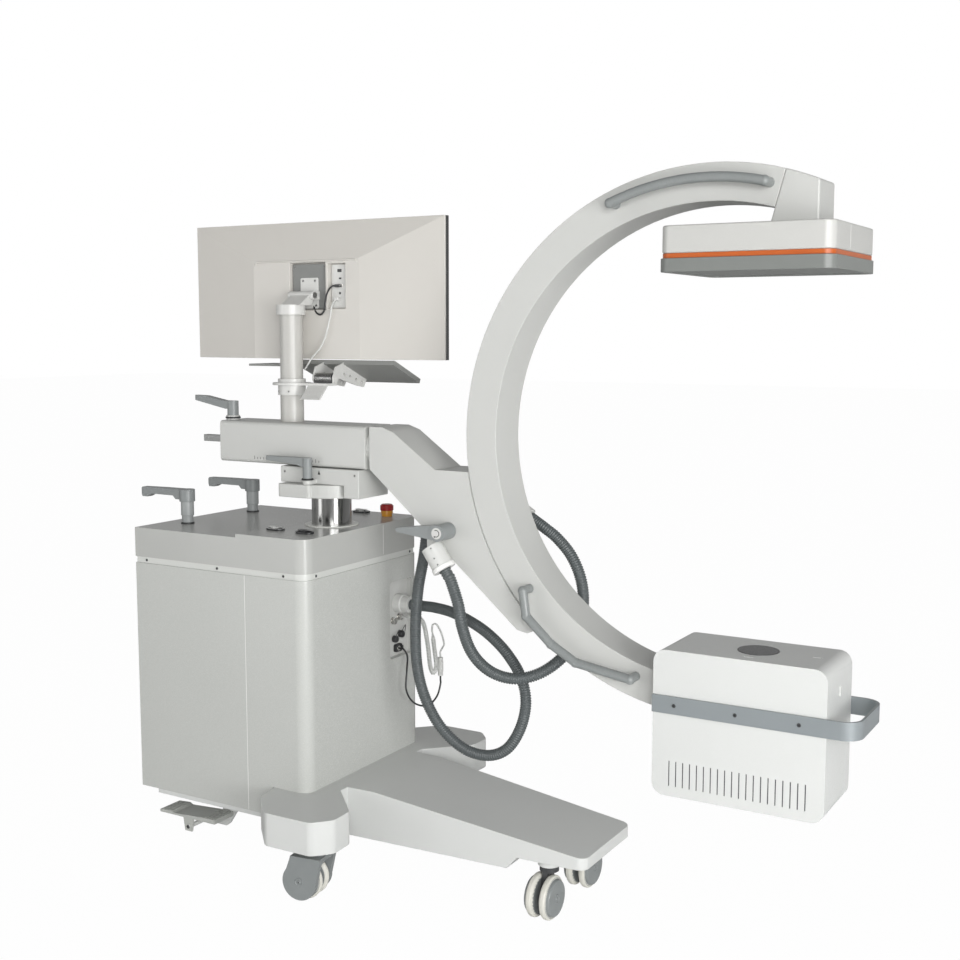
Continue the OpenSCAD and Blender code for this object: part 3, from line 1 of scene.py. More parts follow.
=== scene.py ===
import bpy, bmesh, json, math
from mathutils import Matrix, Vector
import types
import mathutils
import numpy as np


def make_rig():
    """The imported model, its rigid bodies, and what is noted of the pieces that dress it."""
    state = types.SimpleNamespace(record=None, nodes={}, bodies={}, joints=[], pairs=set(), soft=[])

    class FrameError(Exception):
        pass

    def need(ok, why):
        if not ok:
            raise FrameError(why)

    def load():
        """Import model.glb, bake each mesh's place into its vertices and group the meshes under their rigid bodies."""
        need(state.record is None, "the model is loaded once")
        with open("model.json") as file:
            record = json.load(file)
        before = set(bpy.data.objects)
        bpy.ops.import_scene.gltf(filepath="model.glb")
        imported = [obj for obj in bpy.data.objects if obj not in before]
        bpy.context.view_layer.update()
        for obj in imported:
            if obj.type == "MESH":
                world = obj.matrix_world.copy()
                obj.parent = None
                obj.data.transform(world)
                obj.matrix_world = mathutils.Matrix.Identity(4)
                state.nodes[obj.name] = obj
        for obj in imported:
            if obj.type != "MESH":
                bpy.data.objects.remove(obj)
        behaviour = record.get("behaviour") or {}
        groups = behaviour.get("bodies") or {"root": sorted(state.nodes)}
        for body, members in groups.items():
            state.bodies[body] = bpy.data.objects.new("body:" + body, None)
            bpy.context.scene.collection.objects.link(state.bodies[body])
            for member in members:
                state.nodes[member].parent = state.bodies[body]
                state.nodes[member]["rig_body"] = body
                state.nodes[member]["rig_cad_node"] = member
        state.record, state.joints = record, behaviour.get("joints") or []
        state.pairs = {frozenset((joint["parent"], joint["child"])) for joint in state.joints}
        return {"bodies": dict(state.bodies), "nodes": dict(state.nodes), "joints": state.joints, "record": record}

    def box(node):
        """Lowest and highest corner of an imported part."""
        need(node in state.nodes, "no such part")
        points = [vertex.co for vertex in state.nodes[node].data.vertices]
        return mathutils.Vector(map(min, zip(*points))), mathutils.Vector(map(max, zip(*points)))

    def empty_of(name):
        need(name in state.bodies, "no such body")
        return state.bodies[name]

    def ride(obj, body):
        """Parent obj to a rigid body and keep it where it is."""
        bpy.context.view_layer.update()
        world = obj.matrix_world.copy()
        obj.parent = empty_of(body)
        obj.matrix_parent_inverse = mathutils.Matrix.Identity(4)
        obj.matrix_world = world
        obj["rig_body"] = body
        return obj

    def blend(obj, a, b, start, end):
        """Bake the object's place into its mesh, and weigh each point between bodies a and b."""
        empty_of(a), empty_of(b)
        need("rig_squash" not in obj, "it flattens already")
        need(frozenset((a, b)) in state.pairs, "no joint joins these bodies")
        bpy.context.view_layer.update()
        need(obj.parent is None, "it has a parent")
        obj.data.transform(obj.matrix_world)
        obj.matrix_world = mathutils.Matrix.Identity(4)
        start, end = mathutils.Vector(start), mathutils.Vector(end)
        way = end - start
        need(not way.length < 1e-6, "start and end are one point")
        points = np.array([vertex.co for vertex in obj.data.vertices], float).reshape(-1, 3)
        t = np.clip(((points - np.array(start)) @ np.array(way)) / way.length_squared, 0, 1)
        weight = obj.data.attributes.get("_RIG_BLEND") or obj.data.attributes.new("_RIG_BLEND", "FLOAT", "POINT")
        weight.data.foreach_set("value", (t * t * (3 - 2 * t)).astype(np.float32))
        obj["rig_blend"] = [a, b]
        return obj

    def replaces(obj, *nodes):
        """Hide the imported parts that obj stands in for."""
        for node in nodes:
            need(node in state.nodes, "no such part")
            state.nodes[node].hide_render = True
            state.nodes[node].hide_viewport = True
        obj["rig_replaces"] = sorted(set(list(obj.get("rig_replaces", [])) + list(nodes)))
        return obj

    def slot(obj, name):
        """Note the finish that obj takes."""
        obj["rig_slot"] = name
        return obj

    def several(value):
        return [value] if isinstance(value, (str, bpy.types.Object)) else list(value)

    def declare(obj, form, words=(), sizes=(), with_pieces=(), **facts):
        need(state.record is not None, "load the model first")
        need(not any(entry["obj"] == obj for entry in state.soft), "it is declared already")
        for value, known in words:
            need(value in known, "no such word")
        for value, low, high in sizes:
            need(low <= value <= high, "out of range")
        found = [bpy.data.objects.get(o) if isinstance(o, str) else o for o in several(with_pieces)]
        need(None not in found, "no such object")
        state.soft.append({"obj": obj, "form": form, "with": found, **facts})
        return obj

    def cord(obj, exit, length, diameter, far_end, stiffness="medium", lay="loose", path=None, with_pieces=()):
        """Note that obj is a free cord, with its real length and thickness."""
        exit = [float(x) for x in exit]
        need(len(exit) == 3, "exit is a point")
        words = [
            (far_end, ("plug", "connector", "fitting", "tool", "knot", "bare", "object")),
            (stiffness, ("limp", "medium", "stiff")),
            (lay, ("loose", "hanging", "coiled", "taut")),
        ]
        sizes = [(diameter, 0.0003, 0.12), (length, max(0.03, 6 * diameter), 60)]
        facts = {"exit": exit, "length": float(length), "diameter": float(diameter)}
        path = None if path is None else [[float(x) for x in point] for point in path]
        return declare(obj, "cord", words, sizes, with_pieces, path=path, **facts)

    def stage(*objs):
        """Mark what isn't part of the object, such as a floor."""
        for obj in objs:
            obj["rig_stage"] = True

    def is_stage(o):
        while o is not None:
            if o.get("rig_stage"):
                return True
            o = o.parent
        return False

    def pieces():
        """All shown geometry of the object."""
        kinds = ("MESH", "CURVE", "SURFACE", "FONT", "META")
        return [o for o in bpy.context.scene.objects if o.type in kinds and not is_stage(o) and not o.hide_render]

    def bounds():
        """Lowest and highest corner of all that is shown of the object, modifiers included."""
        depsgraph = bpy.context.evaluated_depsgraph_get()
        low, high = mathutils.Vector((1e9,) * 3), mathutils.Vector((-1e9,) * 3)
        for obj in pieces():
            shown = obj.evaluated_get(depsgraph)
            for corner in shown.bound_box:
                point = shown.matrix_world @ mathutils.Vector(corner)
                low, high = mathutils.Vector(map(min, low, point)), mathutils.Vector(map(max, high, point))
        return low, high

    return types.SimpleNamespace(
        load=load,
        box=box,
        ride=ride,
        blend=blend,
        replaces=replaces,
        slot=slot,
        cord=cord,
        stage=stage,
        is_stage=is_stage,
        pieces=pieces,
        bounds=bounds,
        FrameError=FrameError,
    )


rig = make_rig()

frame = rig.load()
cad_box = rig.bounds()

# Camera and studio
# The machine stands on a plain pale floor in front of a white backdrop. The camera looks at its
# front right quarter from a little above the display; soft light comes from the front and right.
CABINET_FRONT = -0.32225
turn, tilt, lean = math.radians(30.23), math.radians(6.49), math.radians(0.03)
LENS = 48.62
EYE = (1905, -2687, 1360)


def spot(x, y, z):
    """A place given in millimetres from the cabinet's front, the centre plane and the floor."""
    return Vector((CABINET_FRONT + x / 1000, y / 1000, z / 1000))


ahead = Vector((-math.sin(turn) * math.cos(tilt), math.cos(turn) * math.cos(tilt), -math.sin(tilt)))
across = Vector((math.cos(turn), math.sin(turn), 0))
upward = across.cross(ahead)
lens_body = bpy.data.cameras.new("camera")
lens_body.lens = LENS
lens_body.sensor_width = 36
camera = bpy.data.objects.new("camera", lens_body)
bpy.context.scene.collection.objects.link(camera)
stand = Matrix((across, upward, -ahead)).transposed().to_4x4()
camera.matrix_world = Matrix.Translation(spot(*EYE)) @ stand @ Matrix.Rotation(lean, 4, "Z")
bpy.context.scene.camera = camera

scene = bpy.context.scene
scene.view_settings.view_transform = "Standard"
world = bpy.data.worlds.new("studio")
scene.world = world
world.use_nodes = True
sky, wires = world.node_tree.nodes, world.node_tree.links
sky.clear()
sky_out = sky.new("ShaderNodeOutputWorld")
where = sky.new("ShaderNodeTexCoord")
split = sky.new("ShaderNodeSeparateXYZ")
ramp = sky.new("ShaderNodeValToRGB")
ramp.color_ramp.elements[0].position = 0.38
ramp.color_ramp.elements[0].color = (0.62, 0.62, 0.62, 1)
ramp.color_ramp.elements[1].position = 0.92
ramp.color_ramp.elements[1].color = (0.23, 0.23, 0.23, 1)
half = sky.new("ShaderNodeMath")
half.operation = "MULTIPLY_ADD"
half.inputs[1].default_value = 0.5
half.inputs[2].default_value = 0.5
room = sky.new("ShaderNodeBackground")
white = sky.new("ShaderNodeBackground")
white.inputs["Color"].default_value = (1, 1, 1, 1)
path = sky.new("ShaderNodeLightPath")
seen = sky.new("ShaderNodeMath")
seen.operation = "MAXIMUM"
pick = sky.new("ShaderNodeMixShader")
wires.new(where.outputs["Generated"], split.inputs[0])
wires.new(split.outputs["Z"], half.inputs[0])
wires.new(half.outputs[0], ramp.inputs["Fac"])
wires.new(ramp.outputs["Color"], room.inputs["Color"])
wires.new(path.outputs["Is Camera Ray"], seen.inputs[0])
wires.new(path.outputs["Is Transmission Ray"], seen.inputs[1])
wires.new(seen.outputs[0], pick.inputs["Fac"])
wires.new(room.outputs[0], pick.inputs[1])
wires.new(white.outputs[0], pick.inputs[2])
wires.new(pick.outputs[0], sky_out.inputs["Surface"])


def soft_lamp(name, place, aim, size, watts):
    lamp = bpy.data.lights.new(name, "AREA")
    lamp.shape = "DISK"
    lamp.size = size
    lamp.energy = watts
    holder = bpy.data.objects.new(name, lamp)
    bpy.context.scene.collection.objects.link(holder)
    direction = Vector(aim) - Vector(place)
    holder.matrix_world = Matrix.Translation(place) @ direction.to_track_quat("-Z", "Y").to_matrix().to_4x4()


soft_lamp("key", (3.0, -4.3, 2.1), (0.2, 0, 0.8), 2.2, 125)
soft_lamp("side", (6.0, -3.3, 1.5), (0, 0, 0.6), 2.8, 125)
soft_lamp("front", (3.3, -2.2, 0.65), (-0.3, 0, 0.45), 1.2, 36)
soft_lamp("low", (-2.8, -3.6, 1.2), (-0.4, 0, 0.6), 2.4, 24)

# The floor shows as white as the backdrop, and keeps a part of the machine's shadow.
FLOOR_WHITE = 0.98
floor_mesh = bpy.data.meshes.new("floor")
bm = bmesh.new()
bmesh.ops.create_grid(bm, x_segments=1, y_segments=1, size=30)
bm.to_mesh(floor_mesh)
bm.free()
floor = bpy.data.objects.new("floor", floor_mesh)
scene.collection.objects.link(floor)
floor_paint = bpy.data.materials.new("floor")
floor_paint.use_nodes = True
fn, fl = floor_paint.node_tree.nodes, floor_paint.node_tree.links
skin = fn["Principled BSDF"]
skin.inputs["Base Color"].default_value = (0.9, 0.9, 0.9, 1)
skin.inputs["Roughness"].default_value = 0.6
glow = fn.new("ShaderNodeEmission")
eye = fn.new("ShaderNodeLightPath")
veil = fn.new("ShaderNodeMixShader")
much = fn.new("ShaderNodeMath")
much.operation = "MULTIPLY"
much.inputs[1].default_value = FLOOR_WHITE
fl.new(eye.outputs["Is Camera Ray"], much.inputs[0])
fl.new(much.outputs[0], veil.inputs["Fac"])
fl.new(skin.outputs[0], veil.inputs[1])
fl.new(glow.outputs[0], veil.inputs[2])
fl.new(veil.outputs[0], fn["Material Output"].inputs["Surface"])
floor_mesh.materials.append(floor_paint)
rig.stage(floor)


# Hoses
# Two corrugated hoses of black PVC carry the cables: one loops from the cabinet's front to the
# neck, one from the clamp on the neck round to the far side of the C. Their ribs are moulded.
def even_route(points, step):
    """A smooth line through points given in millimetres, sampled every step metres."""
    p = [spot(*q) for q in points]
    fine = []
    for i in range(len(p) - 1):
        a, b, c, d = p[max(i - 1, 0)], p[i], p[i + 1], p[min(i + 2, len(p) - 1)]
        for k in range(60):
            t = k / 60
            fine.append(0.5 * (2 * b + (c - a) * t + (2 * a - 5 * b + 4 * c - d) * t * t
                               + (3 * b - a - 3 * c + d) * t * t * t))
    fine.append(p[-1])
    run = [0.0]
    for i in range(1, len(fine)):
        run.append(run[-1] + (fine[i] - fine[i - 1]).length)
    count = max(2, round(run[-1] / step))
    out, j = [], 0
    for k in range(count + 1):
        s = run[-1] * k / count
        while j < len(run) - 2 and run[j + 1] < s:
            j += 1
        f = (s - run[j]) / max(run[j + 1] - run[j], 1e-9)
        out.append(fine[j].lerp(fine[j + 1], min(max(f, 0), 1)))
    return out, run[-1]


def tube(name, line, radius, swell=None, sides=3):
    """A round tube swept along a line; swell gives the share of the radius at each of its points."""
    curve = bpy.data.curves.new(name, "CURVE")
    curve.dimensions = "3D"
    curve.bevel_depth = radius
    curve.bevel_resolution = sides
    curve.use_fill_caps = True
    run = curve.splines.new("POLY")
    run.points.add(len(line) - 1)
    for i, q in enumerate(line):
        run.points[i].co = (*q, 1)
        run.points[i].radius = swell(i) if swell else 1
    shaper = bpy.data.objects.new(name + "_line", curve)
    bpy.context.scene.collection.objects.link(shaper)
    bpy.context.view_layer.update()
    mesh = bpy.data.meshes.new_from_object(shaper.evaluated_get(bpy.context.evaluated_depsgraph_get()))
    bpy.data.objects.remove(shaper)
    piece = bpy.data.objects.new(name, mesh)
    bpy.context.scene.collection.objects.link(piece)
    mesh.shade_smooth()
    return piece


def grain_group():
    """Soft mottle and fine grain in Object coordinates, for every finish here."""
    if "surface_grain" in bpy.data.node_groups:
        return bpy.data.node_groups["surface_grain"]
    g = bpy.data.node_groups.new("surface_grain", "ShaderNodeTree")
    g.interface.new_socket("Mottle Scale", in_out="INPUT", socket_type="NodeSocketFloat")
    g.interface.new_socket("Grain Scale", in_out="INPUT", socket_type="NodeSocketFloat")
    g.interface.new_socket("Upright", in_out="INPUT", socket_type="NodeSocketFloat")
    g.interface.new_socket("Mottle", in_out="OUTPUT", socket_type="NodeSocketFloat")
    g.interface.new_socket("Grain", in_out="OUTPUT", socket_type="NodeSocketFloat")
    n, l = g.nodes, g.links
    gi, go = n.new("NodeGroupInput"), n.new("NodeGroupOutput")
    at = n.new("ShaderNodeTexCoord")
    ways = n.new("ShaderNodeCombineXYZ")
    ways.inputs["X"].default_value = 1
    ways.inputs["Y"].default_value = 1
    l.new(gi.outputs["Upright"], ways.inputs["Z"])
    drawn = n.new("ShaderNodeVectorMath")
    drawn.operation = "MULTIPLY"
    l.new(at.outputs["Object"], drawn.inputs[0])
    l.new(ways.outputs[0], drawn.inputs[1])
    for socket, scale, detail in (("Mottle", "Mottle Scale", 3), ("Grain", "Grain Scale", 2)):
        cloud = n.new("ShaderNodeTexNoise")
        cloud.inputs["Detail"].default_value = detail
        cloud.inputs["Roughness"].default_value = 0.55
        l.new(drawn.outputs[0], cloud.inputs["Vector"])
        l.new(gi.outputs[scale], cloud.inputs["Scale"])
        l.new(cloud.outputs["Fac"], go.inputs[socket])
    return g


def finish(name, light, dark, rough=(0.35, 0.5), metal=0.0, mottle=6, grain=900, bump=0.02, coat=0.0,
           specular=0.5, upright=1.0):
    """A surface whose colour drifts between two tones, with a fine grain in its gloss and relief."""
    m = bpy.data.materials.new(name)
    m.use_nodes = True
    n, l = m.node_tree.nodes, m.node_tree.links
    skin = n["Principled BSDF"]
    skin.inputs["Metallic"].default_value = metal
    skin.inputs["Coat Weight"].default_value = coat
    skin.inputs["Coat Roughness"].default_value = 0.15
    skin.inputs["Specular IOR Level"].default_value = specular
    tone = n.new("ShaderNodeGroup")
    tone.node_tree = grain_group()
    tone.inputs["Mottle Scale"].default_value = mottle
    tone.inputs["Grain Scale"].default_value = grain
    tone.inputs["Upright"].default_value = upright
    blend = n.new("ShaderNodeMix")
    blend.data_type = "RGBA"
    blend.inputs["A"].default_value = (*dark, 1)
    blend.inputs["B"].default_value = (*light, 1)
    l.new(tone.outputs["Mottle"], blend.inputs["Factor"])
    l.new(blend.outputs["Result"], skin.inputs["Base Color"])
    gloss = n.new("ShaderNodeMapRange")
    gloss.inputs["From Min"].default_value = 0.3
    gloss.inputs["From Max"].default_value = 0.7
    gloss.inputs["To Min"].default_value = rough[0]
    gloss.inputs["To Max"].default_value = rough[1]
    l.new(tone.outputs["Grain"], gloss.inputs["Value"])
    l.new(gloss.outputs["Result"], skin.inputs["Roughness"])
    relief = n.new("ShaderNodeBump")
    relief.inputs["Strength"].default_value = bump
    relief.inputs["Distance"].default_value = 0.001
    l.new(tone.outputs["Grain"], relief.inputs["Height"])
    l.new(relief.outputs["Normal"], skin.inputs["Normal"])
    return m


def coat_with(piece, *materials):
    for m in materials:
        piece.data.materials.append(m)


def run_of(line):
    return sum((line[i + 1] - line[i]).length for i in range(len(line) - 1))


def nearest(line, x, y, z):
    return min(range(len(line)), key=lambda i: (line[i] - spot(x, y, z)).length)


def hose_stretch(name, route, first, last, radius, shape):
    """Part of a corrugated hose: a ring of the mould stands round it at every fourth step."""
    line = route[first:last + 1]
    piece = tube(name, line, radius, swell=lambda i: shape[(i + first) % len(shape)], sides=4)
    coat_with(piece, hose_skin)
    return piece, line


hose_skin = finish("hose_pvc", (0.105, 0.118, 0.12), (0.07, 0.08, 0.082), (0.3, 0.48), mottle=25, bump=0.1)
hose_radius = 0.0145
rib = (1.0, 0.97, 0.82, 0.97)
rib_step = 0.0015
SEAT = 0.3
out_z = 898.4
hose_a_route = [(185, 0, out_z - SEAT), (185, 0, out_z - SEAT - 20), (185, 0, out_z - SEAT - 40),
                (176, 1, 800), (158, 3, 720), (148, 5, 620), (150, 9, 520), (170, 14, 440),
                (208, 25, 368), (264, 42, 316), (326, 56, 302), (378, 66, 324), (412, 75, 380),
                (422, 85, 446), (402, 95, 506), (356, 108, 556),
                (300, 119, 594), (240, 132, 618), (170, 148, 634), (110, 160, 638), (70, 165, 637),
                (50, 165, 637), (30 + SEAT, 165, 637)]
line_a, _ = even_route(hose_a_route, rib_step)
joins = [0, nearest(line_a, 150, 9, 530), nearest(line_a, 214, 27, 360), nearest(line_a, 372, 65, 320),
         len(line_a) - 1]
spans = (("neck", "carriage", (148, 6, 590), (176, 1, 800)),
         ("carriage", "pan", (206, 24, 372), (150, 8, 535)),
         ("pan", "lift", (358, 62, 312), (222, 30, 352)),
         ("lift", "cart", (140, 156, 637), (382, 68, 328)))
for k, (upper, lower, low_end, high_end) in enumerate(spans):
    piece, line = hose_stretch(f"neck_hose_{k + 1}", line_a, joins[k], joins[k + 1], hose_radius, rib)
    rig.cord(piece, exit=line[0], length=run_of(line), diameter=2 * hose_radius, far_end="object",
            stiffness="stiff", lay="hanging", path=line)
    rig.blend(piece, lower, upper, start=spot(*low_end), end=spot(*high_end))
    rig.slot(piece, "hose_black")
    if k == 0:
        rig.replaces(piece, "hose_a")

clamp_high, clamp_low = Vector((256, -87, 849)), Vector((291, -87, 798))
clamp_run = clamp_low - clamp_high
clamp_way = clamp_run.normalized()
hose_b_start = clamp_low + SEAT * clamp_way
far_way = Vector((0.858, 0, -0.513))
far_seat = Vector((408.53, 87.5, 925.11)) + (25 + SEAT) * far_way
hose_b_route = [tuple(hose_b_start + f * clamp_run) for f in (0, 0.25, 0.5)] + [
    (328, -84, 715), (334, -76, 660), (350, -62, 600), (376, -38, 556), (412, -12, 532), (452, 16, 528),
    (496, 44, 546), (538, 66, 586), (566, 82, 640), (576, 88, 710), (568, 90, 770), (542, 91, 824),
    (504, 91, 864)] + [tuple(far_seat + f * far_way) for f in (50, 25, 0)]
line_b, _ = even_route(hose_b_route, rib_step)
piece, line = hose_stretch("tank_hose", line_b, 0, len(line_b) - 1, hose_radius, rib)
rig.cord(piece, exit=line[0], length=run_of(line), diameter=2 * hose_radius, far_end="object",
        stiffness="stiff", lay="hanging", path=line)
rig.blend(piece, "neck", "c_arm", start=spot(334, -76, 660), end=spot(566, 86, 780))
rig.replaces(piece, "hose_b")
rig.slot(piece, "hose_black")

# Hand switch cords
# The hand switch hangs from the connector panel on a curly white lead, and a thin black lead runs
# from the panel round below it. Both are moulded vinyl with no braid showing.
white_vinyl = finish("white_vinyl", (0.66, 0.67, 0.65), (0.58, 0.59, 0.57), (0.28, 0.42),
                     mottle=40, bump=0.05)
black_vinyl = finish("black_vinyl", (0.03, 0.031, 0.033), (0.018, 0.019, 0.02), (0.25, 0.4),
                     mottle=40, bump=0.05)
jack_y = (142.98, 171.6, 146.16, 175.84, 158.88)
jack_z = (591.76, 598.0, 541.84, 550.16, 514.8)
jack_face = -5
coil_route = [(jack_face + d, jack_y[1], jack_z[1]) for d in (SEAT, 8, 16)] + [
    (26, 192, 598), (42, 206, 580), (50, 215, 520), (54, 221, 460), (58, 231, 438), (60, 242, 456),
    (56, 240, 500), (52, 236, 550)]
cord_route = [(52, 236, 550), (51.5, 235.5, 556), (52, 238, 570), (56, 252, 568), (60, 270, 540),
              (62, 280, 510), (61, 276, 502), (60, 264, 491), (60, 264, 483), (60, 264, 475 + SEAT)]
lead_route = [(jack_face + d, jack_y[4], jack_z[4]) for d in (SEAT, 6, 12)] + [
    (20, 160, 496), (30, 142, 460), (34, 132, 415), (40, 148, 380), (46, 182, 358), (52, 220, 352),
    (58, 250, 370), (60, 264, 400), (60, 264, 412), (60, 264, 424 - SEAT)]
coil_core, coil_run = even_route(coil_route, 0.0004)
turns_apart, curl_radius, strand_radius = 0.0042, 0.0048, 0.0017
curls = []
for i, q in enumerate(coil_core):
    t = (coil_core[min(i + 1, len(coil_core) - 1)] - coil_core[max(i - 1, 0)]).normalized()
    side = t.cross(Vector((0.1, 0.35, 0.93))).normalized()
    other = t.cross(side)
    along_run = coil_run * i / (len(coil_core) - 1)
    ease = min(1.0, along_run / 0.03, (coil_run - along_run) / 0.02 + 0.001)
    a = 2 * math.pi * along_run / turns_apart
    curls.append(q + ease * curl_radius * (math.cos(a) * side + math.sin(a) * other))
coil = tube("switch_curl", curls, strand_radius, sides=1)
coat_with(coil, white_vinyl)
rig.cord(coil, exit=curls[0], length=run_of(curls), diameter=2 * strand_radius, far_end="object",
        stiffness="medium", lay="coiled", path=curls)
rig.replaces(coil, "switch_coil")
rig.ride(coil, "cart")
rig.slot(coil, "white_cord")
lead_radius = 0.0025
for name, node, points, skin_, slot_ in (
        ("switch_lead", "switch_cord", cord_route, white_vinyl, "white_cord"),
        ("trigger_lead", "panel_lead", lead_route, black_vinyl, "black_cord")):
    line, run_length = even_route(points, 0.004)
    lead = tube(name, line, lead_radius, sides=3)
    coat_with(lead, skin_)
    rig.cord(lead, exit=line[0], length=run_length, diameter=2 * lead_radius, far_end="object",
            stiffness="limp", lay="hanging", path=line,
            with_pieces=["hand_switch"] if name == "switch_lead" else [])
    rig.replaces(lead, node)
    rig.ride(lead, "cart")
    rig.slot(lead, slot_)

# Display leads
# A thin white signal lead leaves the display's port recess, hangs below the display and goes into
# the mast. Near the recess it swings with the display, lower down it turns with the cap.
port_route = [(-128, 62.7, 1440), (-128, 57, 1440), (-128, 52, 1440), (-128, 43, 1431), (-129, 39, 1418),
              (-131, 37.5, 1402), (-146, 36, 1350), (-162, 34, 1320), (-186, 32, 1296), (-200, 29, 1276),
              (-209, 27, 1262)]
line_d, _ = even_route(port_route, 0.004)
middle = nearest(line_d, -147, 36, 1348)
signal_radius = 0.0022
for name, upper, lower, low_end, high_end, first, last in (
        ("display_lead_1", "display", "display_head", (-142, 36, 1364), (-131, 38, 1404), 0, middle),
        ("display_lead_2", "display_head", "carriage", (-206, 28, 1268), (-150, 36, 1340), middle,
         len(line_d) - 1)):
    line = line_d[first:last + 1]
    lead = tube(name, line, signal_radius, sides=3)
    coat_with(lead, white_vinyl)
    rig.cord(lead, exit=line[0], length=run_of(line), diameter=2 * signal_radius, far_end="object",
            stiffness="limp", lay="hanging", path=line)
    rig.blend(lead, lower, upper, start=spot(*low_end), end=spot(*high_end))
    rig.slot(lead, "white_cord")
    if first == 0:
        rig.replaces(lead, "display_leads")


# Base casting
# One painted casting: a wide cowl round the back of the cabinet with the rear casters under its
# ends, and a broad flat leg that runs forward to the front casters. Its edges are well broken.
def dressed(node, body, *materials, round_off=0.0015, steps=3, sharp=30, level=0.6, choose=None,
            crease=35):
    """A solid of the frame with its edges broken: merged, its flat faces joined, its corners rounded."""
    bm = bmesh.new()
    bm.from_mesh(frame["nodes"][node].data)
    bmesh.ops.remove_doubles(bm, verts=bm.verts, dist=2e-5)
    bmesh.ops.dissolve_limit(bm, angle_limit=math.radians(level), verts=bm.verts, edges=bm.edges)
    edges = [e for e in bm.edges if len(e.link_faces) == 2 and e.calc_face_angle(0) > math.radians(sharp)]
    if round_off:
        bmesh.ops.bevel(bm, geom=edges, offset=round_off, offset_type="OFFSET", segments=steps, profile=0.5,
                        affect="EDGES", clamp_overlap=True, material=-1)
    if choose:
        for f in bm.faces:
            f.material_index = choose(f.calc_center_median(), f.normal)
    return placed(node + "_skin", bm, body, materials, node=node, crease=crease)


def placed(name, bm, body, materials, node=None, slot=None, crease=35):
    """Makes a bmesh a piece with soft shading, rides it on its body and names what it stands for."""
    mesh = bpy.data.meshes.new(name)
    bm.to_mesh(mesh)
    bm.free()
    mesh.shade_smooth()
    mesh.set_sharp_from_angle(angle=math.radians(crease))
    piece = bpy.data.objects.new(name, mesh)
    bpy.context.scene.collection.objects.link(piece)
    weigh = piece.modifiers.new("flats", "WEIGHTED_NORMAL")
    weigh.keep_sharp = True
    coat_with(piece, *materials)
    if node:
        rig.replaces(piece, node)
    if slot:
        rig.slot(piece, slot)
    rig.ride(piece, body)
    return piece


base_paint = finish("base_paint", (0.62, 0.63, 0.615), (0.58, 0.59, 0.575), (0.3, 0.42), mottle=3, grain=700,
                    bump=0.06, specular=0.4)
dressed("base_frame", "cart", base_paint, round_off=0.005)


# Casters
# The rear casters are shielded twin wheels in grey plastic; the front ones have two pale tyres with
# grey drums on a black fork. Their tyres are cream polyurethane with a seam round the middle.
def facing(normal):
    """Turns what lies flat, its front along Z, to look along a normal, with its own Y upward."""
    return Vector(normal).to_track_quat("Z", "Y").to_matrix().to_4x4()


def turned(bm, profile, place, normal, sides=28, index=0):
    """A round part turned from its profile of (radius, height) in millimetres."""
    old = set(bm.verts)
    ring = [bm.verts.new((r / 1000, 0, h / 1000)) for r, h in profile]
    edges = [bm.edges.new(pair) for pair in zip(ring, ring[1:])]
    bmesh.ops.spin(bm, geom=ring + edges, axis=(0, 0, 1), cent=(0, 0, 0), angle=math.tau, steps=sides,
                   use_merge=True)
    fresh = [v for v in bm.verts if v not in old]
    bmesh.ops.remove_doubles(bm, verts=fresh, dist=1e-6)
    fresh = [v for v in bm.verts if v not in old]
    faces = list({f for v in fresh for f in v.link_faces})
    bmesh.ops.recalc_face_normals(bm, faces=faces)
    for f in faces:
        f.material_index = index
    bmesh.ops.transform(bm, matrix=Matrix.Translation(spot(*place)) @ facing(normal), verts=fresh)


def slab(bm, outline, thick, place, normal, edge=0.4, index=0, roll=0):
    """A flat part of an outline in millimetres, standing off a surface, its front edge broken."""
    old = set(bm.verts)
    base = bm.faces.new([bm.verts.new((u / 1000, v / 1000, 0)) for u, v in outline])
    base.normal_update()
    up = bmesh.ops.extrude_face_region(bm, geom=[base])["geom"]
    bmesh.ops.translate(bm, verts=[v for v in up if isinstance(v, bmesh.types.BMVert)],
                        vec=(0, 0, thick / 1000))
    if edge:
        bmesh.ops.bevel(bm, geom=[e for e in up if isinstance(e, bmesh.types.BMEdge)], offset=edge / 1000,
                        offset_type="OFFSET", segments=2, profile=0.5, affect="EDGES", clamp_overlap=True,
                        material=-1)
    fresh = [v for v in bm.verts if v not in old]
    faces = list({f for v in fresh for f in v.link_faces})
    bmesh.ops.recalc_face_normals(bm, faces=faces)
    for f in faces:
        f.material_index = index
    bmesh.ops.transform(bm, verts=fresh, matrix=Matrix.Translation(spot(*place)) @ facing(normal)
                        @ Matrix.Rotation(math.radians(roll), 4, "Z"))


def rounded(w, h, r, steps=5):
    """The outline of a rectangle with round corners, centred."""
    out = []
    for cx, cy, start in ((w / 2 - r, h / 2 - r, 0), (r - w / 2, h / 2 - r, 90), (r - w / 2, r - h / 2, 180),
                          (w / 2 - r, r - h / 2, 270)):
        for k in range(steps + 1):
            a = math.radians(start + 90 * k / steps)
            out.append((cx + r * math.cos(a), cy + r * math.sin(a)))
    return out


def screw(bm, place, normal, r, head=1.2):
    """A socket screw's button head; the flat floor of its shallow socket takes the second material, a near black
    standing in for the shade down the hex: painted shade.
    """
    turned(bm, [(0.48 * r, 0.35 * head), (0.5 * r, head), (0.72 * r, head), (0.94 * r, 0.6 * head), (r, 0)],
           place, normal, sides=20)
    turned(bm, [(0, 0.4 * head), (0.5 * r, 0.4 * head)], place, normal, sides=12, index=1)


